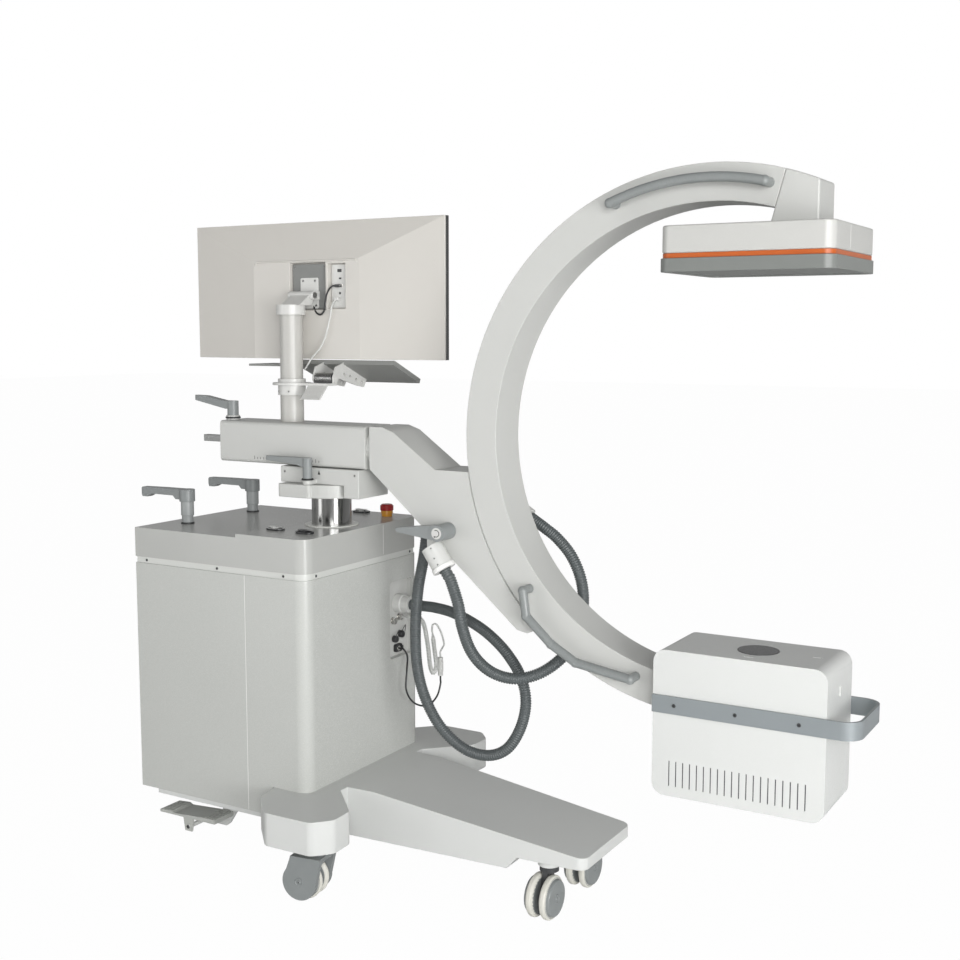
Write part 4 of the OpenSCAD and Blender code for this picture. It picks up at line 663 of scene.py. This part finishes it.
caster_grey = finish("caster_grey", (0.24, 0.255, 0.255), (0.2, 0.215, 0.215), (0.35, 0.5), mottle=20,
                     bump=0.08)
fork_black = finish("fork_black", (0.05, 0.052, 0.055), (0.035, 0.036, 0.038), (0.35, 0.5), bump=0.08)
tyre_cream = finish("tyre_cream", (0.66, 0.65, 0.6), (0.57, 0.56, 0.5), (0.4, 0.55), mottle=30, bump=0.1)
screw_steel = finish("screw_steel", (0.5, 0.5, 0.49), (0.36, 0.36, 0.355), (0.22, 0.36), metal=1.0, mottle=80)
# Near black: the scale marks, arrow, pointer and ring, and the floors of the screw sockets, where it is painted shade
# for the depth of the hex.
black_marks_and_socket_shade = finish("black_marks_and_socket_shade", (0.02, 0.02, 0.021), (0.012, 0.012, 0.012), (0.5, 0.6))
rear_yaw = math.radians(8)
axle = {}
for side, way in (("right", -1), ("left", 1)):
    trail = Vector((math.cos(rear_yaw), math.sin(rear_yaw), 0)) * 34
    outward = Vector((-math.sin(rear_yaw), math.cos(rear_yaw), 0))
    axle["rear_" + side] = (Vector((58, way * 285, 50)) - trail, outward)
    axle["front_" + side] = (Vector((575, way * 104, 52)), Vector((1, 0, 0)))


def drum_or_tyre(centre, outward, drum_radius, tyre_half):
    """Picks the grey drum's faces on a wheel, and leaves the tyre's."""
    def choose(at, normal):
        off = (at - spot(*centre)) * 1000
        side = abs(off.dot(outward))
        out = (off - off.dot(outward) * outward).length
        return 1 if side > tyre_half or out < drum_radius else 0
    return choose


for key, (centre, outward) in axle.items():
    front = key.startswith("front")
    dressed("fork_" + key, "fork_" + key, fork_black if front else caster_grey, round_off=0.0012)
    width, diameter = (66, 104) if front else (56, 100)
    dressed("wheel_" + key, "wheel_" + key, tyre_cream, caster_grey, round_off=0.002,
            choose=drum_or_tyre(centre, outward, 0.43 * diameter, 0.39 * width))
    bm = bmesh.new()
    face = width / 2 if front else width / 2 + 14.3
    for way in (-1, 1):
        place = centre + way * face * outward
        turned(bm, [(0, 0.8), (4, 0.8), (4.6, 0.2), (8.2, 0.2), (9.4, 1.4), (10.6, 1.2), (11, 0)], place,
               way * outward, sides=32)
        screw(bm, place + way * outward * 0.6, way * outward, 3.6, head=1.4)
    placed("hub_caps_" + key, bm, ("wheel_" if front else "fork_") + key, (caster_grey, black_marks_and_socket_shade),
           slot="fork_grey")

# Foot pedal
# A grey die-cast tread with ribs across both its ends, rocking on a pin in a bracket under the
# cabinet; the brake's linkage behind it is black steel.
pedal_grey = finish("pedal_grey", (0.46, 0.47, 0.445), (0.4, 0.41, 0.385), (0.42, 0.58), mottle=20, bump=0.12)
dressed("foot_pedal", "foot_pedal", pedal_grey, round_off=0.0015)
bm = bmesh.new()
for x, z in ((-536, 80.5), (-525, 81.5), (-514, 82.0), (-503, 81), (-385, 85.2), (-376, 85.2), (-367, 85.2),
             (-358, 85.2)):
    slab(bm, rounded(3.2, 70, 1.4), 1.4, (x, -162, z), (0, 0, 1), edge=0.7)
placed("pedal_ribs", bm, "foot_pedal", (pedal_grey,), slot="pedal_black")
bm = bmesh.new()
screw(bm, (-444, -200.4, 50), (0, -1, 0), 5.2, head=1.6)
placed("pedal_pin_head", bm, "cart", (fork_black, black_marks_and_socket_shade), slot="fork_black")


# Cabinet
# Folded sheet steel, powder-coated pale grey, in a rear and a front part. A white sealing strip
# shows in the seam between them.
cabinet_paint = finish("cabinet_paint", (0.5, 0.51, 0.487), (0.47, 0.48, 0.457), (0.2, 0.32), mottle=4,
                       grain=650, bump=0.06, specular=0.55)
dressed("cabinet_rear", "cart", cabinet_paint, round_off=0.0015)
dressed("cabinet_front", "cart", cabinet_paint, round_off=0.0015)
seam_x = -188.7
seal_white = finish("seal_white", (0.8, 0.8, 0.78), (0.74, 0.74, 0.72), (0.4, 0.5), mottle=30)
bm = bmesh.new()
for way in (-1, 1):
    slab(bm, rounded(2.6, 600, 0.6), 2.6, (seam_x, way * 249.2, 463), (0, way, 0), edge=0.4)
placed("cabinet_seal", bm, "cart", (seal_white,), slot="cabinet_paint")

# Cover band
# A band of painted steel set back between the cabinet and its cover, held by black socket screws;
# thin shadow gaps run above and below it.
band_paint = finish("band_paint", (0.6, 0.61, 0.585), (0.56, 0.57, 0.545), (0.3, 0.42), mottle=6, bump=0.05)
dressed("cover_band", "cart", band_paint, round_off=0.0008)
bm = bmesh.new()
for x in (-516.2, -277.5, -66.6):
    for way in (-1, 1):
        screw(bm, (x, way * 250.6, 772), (0, way, 0), 3.6, head=1.4)
for way in (-1, 1):
    screw(bm, (-1.4, way * 206.6, 772), (1, 0, 0), 3.6, head=1.4)
placed("band_screws", bm, "cart", (fork_black, black_marks_and_socket_shade), slot="stop_steel")

# Top cover
# A vacuum-formed cover in pale grey plastic, glossy on top, its front third a step higher. A thin
# seam runs down its front face.
cover_plastic = finish("cover_plastic", (0.45, 0.455, 0.437), (0.415, 0.42, 0.402), (0.18, 0.28), mottle=5,
                       grain=500, bump=0.03, specular=0.5)
dressed("top_cover", "cart", cover_plastic, round_off=0.006)
bm = bmesh.new()
slab(bm, rounded(1.4, 78, 0.5), 0.3, (0, 80, 822), (1, 0, 0), edge=0.2)
placed("cover_seam", bm, "cart", (seal_white,), slot="cover_plastic")

# Column sleeve
# The steel sleeve that guides the lift tube, with an enamelled ring round it on the cover.
ring_enamel = finish("ring_enamel", (0.66, 0.665, 0.63), (0.62, 0.625, 0.59), (0.2, 0.3), mottle=12,
                     bump=0.03)
dressed("column_sleeve", "cart", ring_enamel, round_off=0.001)

# Connector panel
# A pressed recess in the cabinet's front, painted as the cabinet, with bayonet jacks of nickelled
# brass, two jacks under rubber caps on leashes and one oblong socket in black plastic.
panel_paint = finish("panel_paint", (0.58, 0.585, 0.565), (0.54, 0.545, 0.525), (0.26, 0.38), mottle=8,
                     bump=0.05)
nickel = finish("nickel", (0.7, 0.69, 0.66), (0.52, 0.51, 0.49), (0.14, 0.26), metal=1.0, mottle=90)
rubber_black = finish("rubber_black", (0.035, 0.036, 0.038), (0.02, 0.021, 0.022), (0.45, 0.6), mottle=60,
                      bump=0.1)
jack_base, jack_mouth = -15.5, 7.5
dressed("connector_panel", "cart", panel_paint, nickel, round_off=0.0008,
        choose=lambda at, normal: 1 if at.x > spot(jack_base, 0, 0).x and any(
            (Vector((at.y, at.z)) * 1000 - Vector((y, z))).length < jack_mouth
            for y, z in zip(jack_y, jack_z)) else 0)
bm = bmesh.new()
for y, z in zip(jack_y[:2], jack_z[:2]):
    turned(bm, [(7.6, -10.6), (9.6, -10.2), (9.8, -8.4), (7.6, -8), (7.4, -2.6), (8.4, -2.2), (8.6, -0.4),
                (7.2, 0)], (jack_face, y, z), (1, 0, 0), sides=32)
    for way in (-1, 1):
        turned(bm, [(0, 2.4), (1.1, 2.2), (1.3, 0)], (jack_face - 5, y, z + way * 7.2), (0, 0, way), sides=12)
placed("bayonet_jacks", bm, "cart", (nickel,), slot="groove_metal")
bm = bmesh.new()
for y, z in zip(jack_y[2:4], jack_z[2:4]):
    turned(bm, [(0, 3.6), (6.4, 3.4), (8.2, 2.4), (9.3, 0.6), (9.6, -2), (9.2, -9), (7.2, -10.6)],
           (jack_face, y, z), (1, 0, 0), sides=36)
    turned(bm, [(2.6, 4.2), (3.4, 4.2), (3.6, 3.2)], (jack_face, y, z), (1, 0, 0), sides=20)
slab(bm, rounded(30, 21, 5), 9, (-16, jack_y[4] + 4, jack_z[4]), (1, 0, 0), edge=1.4)
slab(bm, rounded(9, 12, 3), 4, (-7, jack_y[4] + 14, jack_z[4]), (1, 0, 0), edge=1)
placed("capped_jacks", bm, "cart", (rubber_black,), slot="black_cord")
for k, (y, z) in enumerate(zip(jack_y[2:4], jack_z[2:4])):
    leash = [spot(jack_face - 2, y, z) + Vector((0.006 * math.sin(math.pi * f), 0.012 * f + 0.002,
                                                 0.0095 + 0.017 * math.sin(math.pi * f) - 0.004 * f))
             for f in [i / 14 for i in range(15)]]
    loop = tube(f"cap_leash_{k + 1}", leash, 0.0009, sides=2)
    coat_with(loop, rubber_black)
    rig.slot(loop, "black_cord")
    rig.ride(loop, "cart")

# Hose gland
# A white nylon gland nut holds the hose where it leaves the recess; it has flats for a spanner.
nylon_white = finish("nylon_white", (0.64, 0.645, 0.625), (0.58, 0.585, 0.565), (0.26, 0.38), mottle=20,
                     bump=0.05)
dressed("hose_gland", "cart", nylon_white, round_off=0.002)

# Hand switch
# A white pendant of two moulded halves with a ring at each end and a release button at its tip.
# Its cord comes in at the top, and the black lead ends at its foot.
dressed("hand_switch", "cart", nylon_white, round_off=0.001)
bm = bmesh.new()
for z in (437, 463):
    turned(bm, [(7.2, -2.2), (7.6, -1.6), (7.6, 1.2), (7.0, 2.0)], (60, 264, z), (0, 0, 1), sides=28)
placed("switch_rings", bm, "cart", (nylon_white,), slot="white_plastic")

# Lift and power switches, emergency stop
# Membrane rockers with pale tops in black frames, a black power rocker, and the red mushroom stop
# on its yellow collar.
rim_black = finish("rim_black", (0.03, 0.031, 0.033), (0.02, 0.021, 0.022), (0.25, 0.4), bump=0.05)
switch_pale = finish("switch_pale", (0.62, 0.625, 0.61), (0.55, 0.555, 0.54), (0.3, 0.4), mottle=30)
stop_yellow = finish("stop_yellow", (0.72, 0.33, 0.03), (0.62, 0.27, 0.02), (0.28, 0.4), mottle=30)
estop_at = spot(-68, 197, 865)
dressed("control_bezels", "cart", rim_black, stop_yellow, switch_pale, round_off=0.0008,
        choose=lambda at, normal: 1 if (at - estop_at).length < 0.03
        else 2 if at.x < spot(-120, 0, 0).x and normal.z > 0.7 else 0)
bm = bmesh.new()
turned(bm, [(15.6, 7), (15.8, 6), (16.6, 1), (17.2, 0), (17.2, -0.5)], (-68, 197, 874), (0, 0, 1), sides=36)
placed("stop_collar", bm, "cart", (stop_yellow,), slot="bezel_grey")
dressed("lift_switch_right", "lift_switch_right", switch_pale, round_off=0.0006)
dressed("lift_switch_left", "lift_switch_left", switch_pale, round_off=0.0006)
dressed("power_rocker", "power_rocker", rim_black, round_off=0.0006)
stop_steel = finish("stop_steel", (0.6, 0.6, 0.6), (0.5, 0.5, 0.5), (0.2, 0.3), metal=1.0)
stop_red = finish("stop_red", (0.42, 0.016, 0.018), (0.36, 0.012, 0.014), (0.2, 0.32), mottle=20, bump=0.03)
dressed("estop_stem", "estop_stem", stop_steel, round_off=0.0005)
dressed("estop_cap", "estop_cap", stop_red, round_off=0.002)

# Levers
# The brake and steering levers are grey die-cast handles on two-step posts, each with a black
# rubber ring where it stands on the cover.
lever_grey = finish("lever_grey", (0.25, 0.265, 0.265), (0.21, 0.225, 0.225), (0.3, 0.42), mottle=18,
                    bump=0.08)
post_grey = finish("post_grey", (0.33, 0.345, 0.345), (0.28, 0.295, 0.295), (0.26, 0.38), mottle=14,
                   bump=0.05)
dressed("lever_posts", "cart", post_grey, round_off=0.0012)
dressed("brake_lever", "brake_lever", lever_grey, round_off=0.004, steps=4)
dressed("steer_lever", "steer_lever", lever_grey, round_off=0.004, steps=4)
bm = bmesh.new()
for way in (-1, 1):
    turned(bm, [(15.2, 4.2), (16.6, 3.8), (17.4, 2.4), (17.6, 0)], (-482, way * 132, 856), (0, 0, 1),
           sides=40)
placed("lever_gaskets", bm, "cart", (rubber_black,), slot="black_cord")

# Lift column
# A hard-chromed steel tube that slides in the sleeve. Its colour runs in upright streaks between bright and black:
# painted reflections of the room.
chrome_painted_reflections = finish("chrome_painted_reflections", (0.8, 0.8, 0.78), (0.0, 0.0, 0.0), (0.1, 0.18), metal=1.0, mottle=42, grain=400,
                bump=0.02, upright=0.01)
dressed("lift_column", "lift", chrome_painted_reflections, round_off=0.0008)

# Panning block and its lock
# The carriage pans on a thick painted plate over the column; a lever with a chromed hub clamps it,
# and a black pointer shows the middle.
arm_paint = finish("arm_paint", (0.545, 0.55, 0.53), (0.515, 0.52, 0.5), (0.28, 0.4), mottle=4, grain=700,
                   bump=0.06, specular=0.42)
dressed("pan_plate", "lift", arm_paint, round_off=0.003)
dressed("pan_block", "pan", arm_paint, round_off=0.003)
dressed("pan_lock", "pan_lock", lever_grey, screw_steel, round_off=0.002,
        choose=lambda at, normal: 1 if at.z < spot(0, 0, 1004).z else 0)
bm = bmesh.new()
turned(bm, [(13.2, 4.5), (14.6, 4), (15.4, 2), (15.6, 0)], (-118, -84, 988.2), (0, 0, 1), sides=32, index=1)
slab(bm, [(-4, 0), (4, 0), (0, 11)], 0.4, (-96, -65, 1001), (0, -1, 0), edge=0.1, index=1)
screw(bm, (15, -65, 1004), (0, -1, 0), 3.2)
screw(bm, (-206, -65, 1004), (0, -1, 0), 3.2)
placed("pan_fittings", bm, "pan", (screw_steel, black_marks_and_socket_shade), slot="bar_steel")

# Carriage
# A square box casting that slides fore and aft on the panning block, with a ruled scale of plain
# marks along its side and a steel bar out of its back.
dressed("carriage_box", "carriage", arm_paint, round_off=0.004)
bar_steel = finish("bar_steel", (0.30, 0.305, 0.30), (0.25, 0.255, 0.25), (0.28, 0.42), metal=0.6,
                   mottle=12, grain=300)
dressed("square_bar", "carriage", bar_steel, round_off=0.0015)
car_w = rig.box("carriage_box")[1][1]
bm = bmesh.new()
for k in range(22):
    tall = 9 if k % 5 == 0 else 6
    slab(bm, [(-0.65, 0), (0.65, 0), (0.65, tall), (-0.65, tall)], 0.06,
         (-310 + 10 * k, -car_w * 1000, 1030), (0, -1, 0), edge=0)
placed("slide_scale", bm, "carriage", (black_marks_and_socket_shade,), slot="black_cord")

# Display mast and slide lock
# A painted steel tube stands on the carriage; beside it a bent lever with a round hub clamps the
# slide, on a black rubber washer.
mast_paint = finish("mast_paint", (0.50, 0.495, 0.47), (0.47, 0.465, 0.44), (0.24, 0.36), mottle=8, bump=0.05)
dressed("display_mast", "carriage", mast_paint, round_off=0.001)
dressed("slide_lock", "slide_lock", lever_grey, round_off=0.003)
bm = bmesh.new()
turned(bm, [(17.6, 4.6), (19.4, 4.2), (20.2, 2.4), (20.4, 0)], (-415, -20, 1132), (0, 0, 1), sides=36)
placed("slide_washer", bm, "carriage", (rubber_black,), slot="black_cord")

# Tray bracket
# White collars clamp a steel disc round the mast; the disc carries the tray's black hinge with its
# two springs, and a bent cover plate hangs below it.
collar_white = finish("collar_white", (0.62, 0.62, 0.6), (0.58, 0.58, 0.56), (0.22, 0.34), mottle=12,
                      bump=0.04)
hinge_near = spot(-158, -3, 1232)
hinge_far = spot(-102, 30, 1262)
dressed("tray_bracket", "tray_arm", collar_white, rim_black, round_off=0.001,
        choose=lambda at, normal: 1 if hinge_near.x < at.x < hinge_far.x and hinge_near.y < at.y < hinge_far.y
        and hinge_near.z < at.z < hinge_far.z else 0)
bm = bmesh.new()
screw(bm, (-214, -33.5, 1208), (0.45, -1, 0), 2.8, head=1.0)
screw(bm, (-246, -33.5, 1208), (-0.45, -1, 0), 2.8, head=1.0)
for x in (-146, -116):
    screw(bm, (x, -39, 1203), (0, -0.7, -0.7), 2.4, head=0.9)
placed("bracket_screws", bm, "tray_arm", (screw_steel, black_marks_and_socket_shade), slot="bar_steel")
spring_line = []
for k in range(241):
    a = 2 * math.pi * k / 16
    spring_line.append(spot(-156 + 52 * k / 240, 12 + 12.2 * math.cos(a), 1243 + 12.2 * math.sin(a)))
spring = tube("hinge_spring", spring_line, 0.0009, sides=2)
coat_with(spring, screw_steel)
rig.slot(spring, "bar_steel")
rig.ride(spring, "tray_arm")

# Console tray
# A thin folded tray in grey paint, hung from two white ears with lightening holes.
tray_paint = finish("tray_paint", (0.27, 0.275, 0.262), (0.235, 0.24, 0.228), (0.32, 0.46), mottle=6,
                    bump=0.06)
ears_at, ear_half, ear_top = (spot(-162, 0, 0).x, spot(-98, 0, 0).x), 0.0026, spot(0, 0, 1281).z
dressed("console_tray", "tray", tray_paint, collar_white, round_off=0.001,
        choose=lambda at, normal: 1 if any(abs(at.x - x) < ear_half for x in ears_at)
        and at.z < ear_top else 0)

# Display mount
# A painted cap turns on the mast and holds a slanted hinge block; the tilting half is a white
# bracket screwed to a grey square plate in the display's back.
dressed("display_cap", "display_head", collar_white, round_off=0.0015)
plate_grey = finish("plate_grey", (0.22, 0.225, 0.218), (0.19, 0.195, 0.188), (0.36, 0.5), mottle=16,
                    bump=0.08)
dressed("tilt_bracket", "display", plate_grey, collar_white, round_off=0.001,
        choose=lambda at, normal: 1 if at.y < 0.0545 else 0)
bm = bmesh.new()
slab(bm, rounded(58, 80, 5), 2.6, (-209, 55, 1462), (0, -1, 0), edge=0.6)
placed("tilt_plate", bm, "display", (collar_white,), slot="mast_paint")
bm = bmesh.new()
for x, z in ((-257, 1530), (-161, 1530), (-257, 1429), (-161, 1429)):
    screw(bm, (x, 55, z), (0, -1, 0), 2.8, head=0.9)
for x, z in ((-229, 1494), (-190, 1494), (-187, 1430)):
    screw(bm, (x, 52.4, z), (0, -1, 0), 3.4, head=1.2)
placed("mount_screws", bm, "display", (screw_steel, black_marks_and_socket_shade), slot="bar_steel")
bm = bmesh.new()
for x, way in ((-177.2, 1), (-258.8, -1)):
    turned(bm, [(0, 4.6), (3.4, 4.6), (3.6, 1.6), (6.6, 1.4), (7, 0)], (x, 34, 1456), (way, 0, 0), sides=6)
    turned(bm, [(7.4, 0.8), (8.4, 0.8), (8.6, 0)], (x, 34, 1456), (way, 0, 0), sides=28)
placed("hinge_nuts", bm, "display", (screw_steel,), slot="bar_steel")

# Display
# A wide flat display in warm grey plastic: its back falls away in facets from a raised middle,
# with a rounded lip over the middle, and its black front slab carries the glass.
display_plastic = finish("display_plastic", (0.6, 0.582, 0.545), (0.57, 0.552, 0.515), (0.3, 0.42), mottle=5,
                         bump=0.06)
dressed("display_shell", "display", display_plastic, round_off=0.0012, crease=3.5)
screen_black = finish("screen_black", (0.012, 0.012, 0.014), (0.009, 0.009, 0.011), (0.1, 0.16), coat=0.6)
dressed("display_screen", "display", screen_black, round_off=0.0008)
lip_points = [(-385, 46.5, 1531), (-384.5, 45.6, 1537), (-381, 45, 1542), (-374, 45, 1545),
              (-300, 45, 1545.4), (-130, 45, 1545.4), (-60, 45, 1545), (-53, 45, 1542),
              (-49.5, 45.6, 1537), (-49, 46.5, 1531)]
lip_line, _ = even_route(lip_points, 0.004)
lip = tube("display_lip", lip_line, 0.0028,
           swell=lambda i: min(1.0, 0.2 + 0.2 * min(i, len(lip_line) - 1 - i)))
coat_with(lip, display_plastic)
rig.slot(lip, "display_plastic")
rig.ride(lip, "display")

# Display ports
# A white plate in the port recess holds a power inlet, two data sockets and two plugs: a black one
# with a short lead to the hinge and the white lead's own.
bm = bmesh.new()
slab(bm, rounded(52, 112, 5), 3.6, (-116, 63, 1479), (0, -1, 0), edge=1.2)
slab(bm, rounded(16, 9, 3), 9, (-122, 59.4, 1446), (0, -1, 0), edge=1.4)
placed("port_plate", bm, "display", (collar_white,), slot="display_plastic")
bm = bmesh.new()
for w, h, x, z in ((13, 8, -116, 1519), (8, 4.5, -114, 1499), (6, 6, -115, 1461)):
    slab(bm, rounded(w, h, 1), 0.5, (x, 59.4, z), (0, -1, 0), edge=0.1, index=1)
slab(bm, rounded(15, 7.5, 2.4), 11, (-119, 59.4, 1480), (0, -1, 0), edge=1.4, index=1)
slab(bm, rounded(9, 8.5, 1), 2.2, (-108, 59.4, 1480), (0, -1, 0), edge=0.3)
placed("port_sockets", bm, "display", (nickel, rim_black), slot="black_cord")
plug_points = [(-124, 53, 1480), (-129, 46, 1479), (-136, 42, 1472), (-144, 40, 1456), (-148, 39, 1436),
               (-152, 39, 1416), (-164, 40, 1406), (-178, 43, 1410), (-190, 49, 1420), (-196, 54.5, 1428)]
plug_line, plug_run = even_route(plug_points, 0.003)
plug_radius = 0.0024
plug_lead = tube("display_power_lead", plug_line, plug_radius, sides=3)
coat_with(plug_lead, black_vinyl)
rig.cord(plug_lead, exit=plug_line[0], length=plug_run, diameter=2 * plug_radius, far_end="object",
        stiffness="limp", lay="hanging", path=plug_line)
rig.slot(plug_lead, "black_cord")
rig.ride(plug_lead, "display")

# Neck
# A cast arm that turns on the carriage's spigot and carries the C in a curved rail.
dressed("neck_body", "neck", arm_paint, round_off=0.005)

# Hose clamp
# A white sleeve screwed to the neck's side, with a lipped mouth where the hose comes out.
dressed("hose_clamp", "neck", nylon_white, round_off=0.002)
bm = bmesh.new()
turned(bm, [(16.2, 3), (19, 3.4), (28.4, 2.6), (29.4, 0.6), (29.4, -7), (28, -8)], clamp_low, clamp_way,
       sides=48)
placed("clamp_mouth", bm, "neck", (seal_white,), slot="white_plastic")
bm = bmesh.new()
for share in (0.12, 0.52, 0.8):
    at = clamp_high + share * clamp_run
    out = Vector((0.35, -1, 0.25 if share < 0.5 else -0.1)).normalized()
    out = (out - out.dot(clamp_way) * clamp_way).normalized()
    screw(bm, at + 26.8 * out, out, 2.4, head=0.9)
placed("clamp_screws", bm, "neck", (screw_steel, black_marks_and_socket_shade), slot="bar_steel")

# Neck lock
# The lever that clamps the C: a tapered grey handle whose hub ends in a white disc with a plain
# turning arrow.
dressed("neck_lock", "neck_lock", lever_grey, round_off=0.003, steps=4)
hub_face = (288, -118.0, 887)
bm = bmesh.new()
turned(bm, [(0, 0.7), (12.6, 0.7), (13.4, 0.2), (13.6, 0)], hub_face, (0, -1, 0), sides=40)
placed("lock_disc", bm, "neck_lock", (collar_white,), slot="white_plastic")
bm = bmesh.new()
arrow_r, arrow_half, sweep = 8.0, 0.9, range(-120, 121, 10)
arc = [((arrow_r + w) * math.cos(math.radians(a)), (arrow_r + w) * math.sin(math.radians(a)))
       for w, turn_ in ((arrow_half, sweep), (-arrow_half, reversed(sweep))) for a in turn_]
slab(bm, arc, 0.2, (288, -118.7, 887), (0, -1, 0), edge=0)
slab(bm, [(-2.6, 0), (2.6, 0), (0, 4.6)], 0.2, (284, -118.7, 880), (0, -1, 0), edge=0, roll=150)
placed("lock_arrow", bm, "neck_lock", (black_marks_and_socket_shade,), slot="black_cord")

# C-arm
# A hollow extruded arc with a rail groove in its back, painted; its outer end carries the
# detector's mount, and two grey tube handles stand off its side.
dressed("c_arc", "c_arm", arm_paint, round_off=0.003)
dressed("detector_mount", "c_arm", arm_paint, round_off=0.004)
handle_grey = finish("handle_grey", (0.25, 0.265, 0.262), (0.215, 0.23, 0.228), (0.22, 0.34), mottle=18,
                     bump=0.04)
dressed("c_handles", "c_arm", handle_grey, round_off=0)

# Detector
# The flat detector: a white cover and a grey base with an orange band between them.
detector_white = finish("detector_white", (0.51, 0.51, 0.49), (0.48, 0.48, 0.46), (0.26, 0.38), mottle=6,
                        bump=0.04)
detector_orange = finish("detector_orange", (0.5, 0.11, 0.018), (0.42, 0.085, 0.014), (0.3, 0.42), mottle=20)
detector_grey = finish("detector_grey", (0.2, 0.21, 0.2), (0.165, 0.175, 0.165), (0.3, 0.42), mottle=8,
                       bump=0.06)
dressed("detector_shell", "c_arm", detector_white, round_off=0.004)
dressed("detector_band", "c_arm", detector_orange, round_off=0.001)
dressed("detector_base", "c_arm", detector_grey, round_off=0.002)
det_low, det_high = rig.box("detector_shell")
bm = bmesh.new()
slab(bm, rounded(1.2, 1000 * (det_high[2] - det_low[2]) - 9, 0.4), 0.25,
     (1000 * (det_high[0] - CABINET_FRONT), -40, 500 * (det_high[2] + det_low[2])), (1, 0, 0), edge=0.1)
placed("detector_seam", bm, "c_arm", (seal_white,), slot="detector_plastic")

# X-ray tube housing
# A rounded white housing with slotted vents, a dark beam window on top, and a grey steel strap
# that serves as its handle.
tank_plastic = finish("tank_plastic", (0.63, 0.64, 0.625), (0.595, 0.605, 0.59), (0.26, 0.38), mottle=5,
                      bump=0.05)
window_dark = finish("window_dark", (0.05, 0.052, 0.055), (0.035, 0.036, 0.038), (0.2, 0.3))
strap_grey = finish("strap_grey", (0.27, 0.295, 0.305), (0.23, 0.255, 0.265), (0.28, 0.4), metal=0.2,
                    bump=0.05)
dressed("tank_shell", "c_arm", tank_plastic, round_off=0.003)
dressed("tank_window", "c_arm", window_dark, round_off=0.0005)
dressed("tank_strap", "c_arm", strap_grey, round_off=0.001)
tank_x, tank_len, tank_tall, vent_span, vent_tall, vents = 1027, 383, 327, 0.79, 57, 20
tank_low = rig.box("tank_shell")[0]
vent_floor = -1000 * tank_low[1] - 2
vent_z = 1000 * tank_low[2] + 0.17 * (tank_tall - vent_tall) / 2 + vent_tall / 2
bm = bmesh.new()
for i in range(vents):
    x = tank_x - vent_span * tank_len / 2 + i * vent_span * tank_len / (vents - 1)
    for way in (-1, 1):
        slab(bm, rounded(2.3, 56.6, 0.6), 0.5, (x, way * vent_floor, vent_z), (0, way, 0), edge=0)
placed("vent_shadows", bm, "c_arm", (finish("vent_dark", (0.05, 0.052, 0.06), (0.035, 0.036, 0.042)),),
       slot="window_dark")
bm = bmesh.new()
for share in (0.135, 0.495, 0.855):
    for way in (-1, 1):
        screw(bm, (tank_x - tank_len / 2 + share * tank_len, way * 104, 553.5), (0, way, 0), 4.4, head=1.2)
placed("strap_screws", bm, "c_arm", (fork_black, black_marks_and_socket_shade), slot="stop_steel")

model_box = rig.bounds()
with open("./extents.json", "w") as sizes:
    json.dump({"cad": [list(map(float, c)) for c in cad_box], "visual": [list(map(float, c)) for c in model_box]},
              sizes)
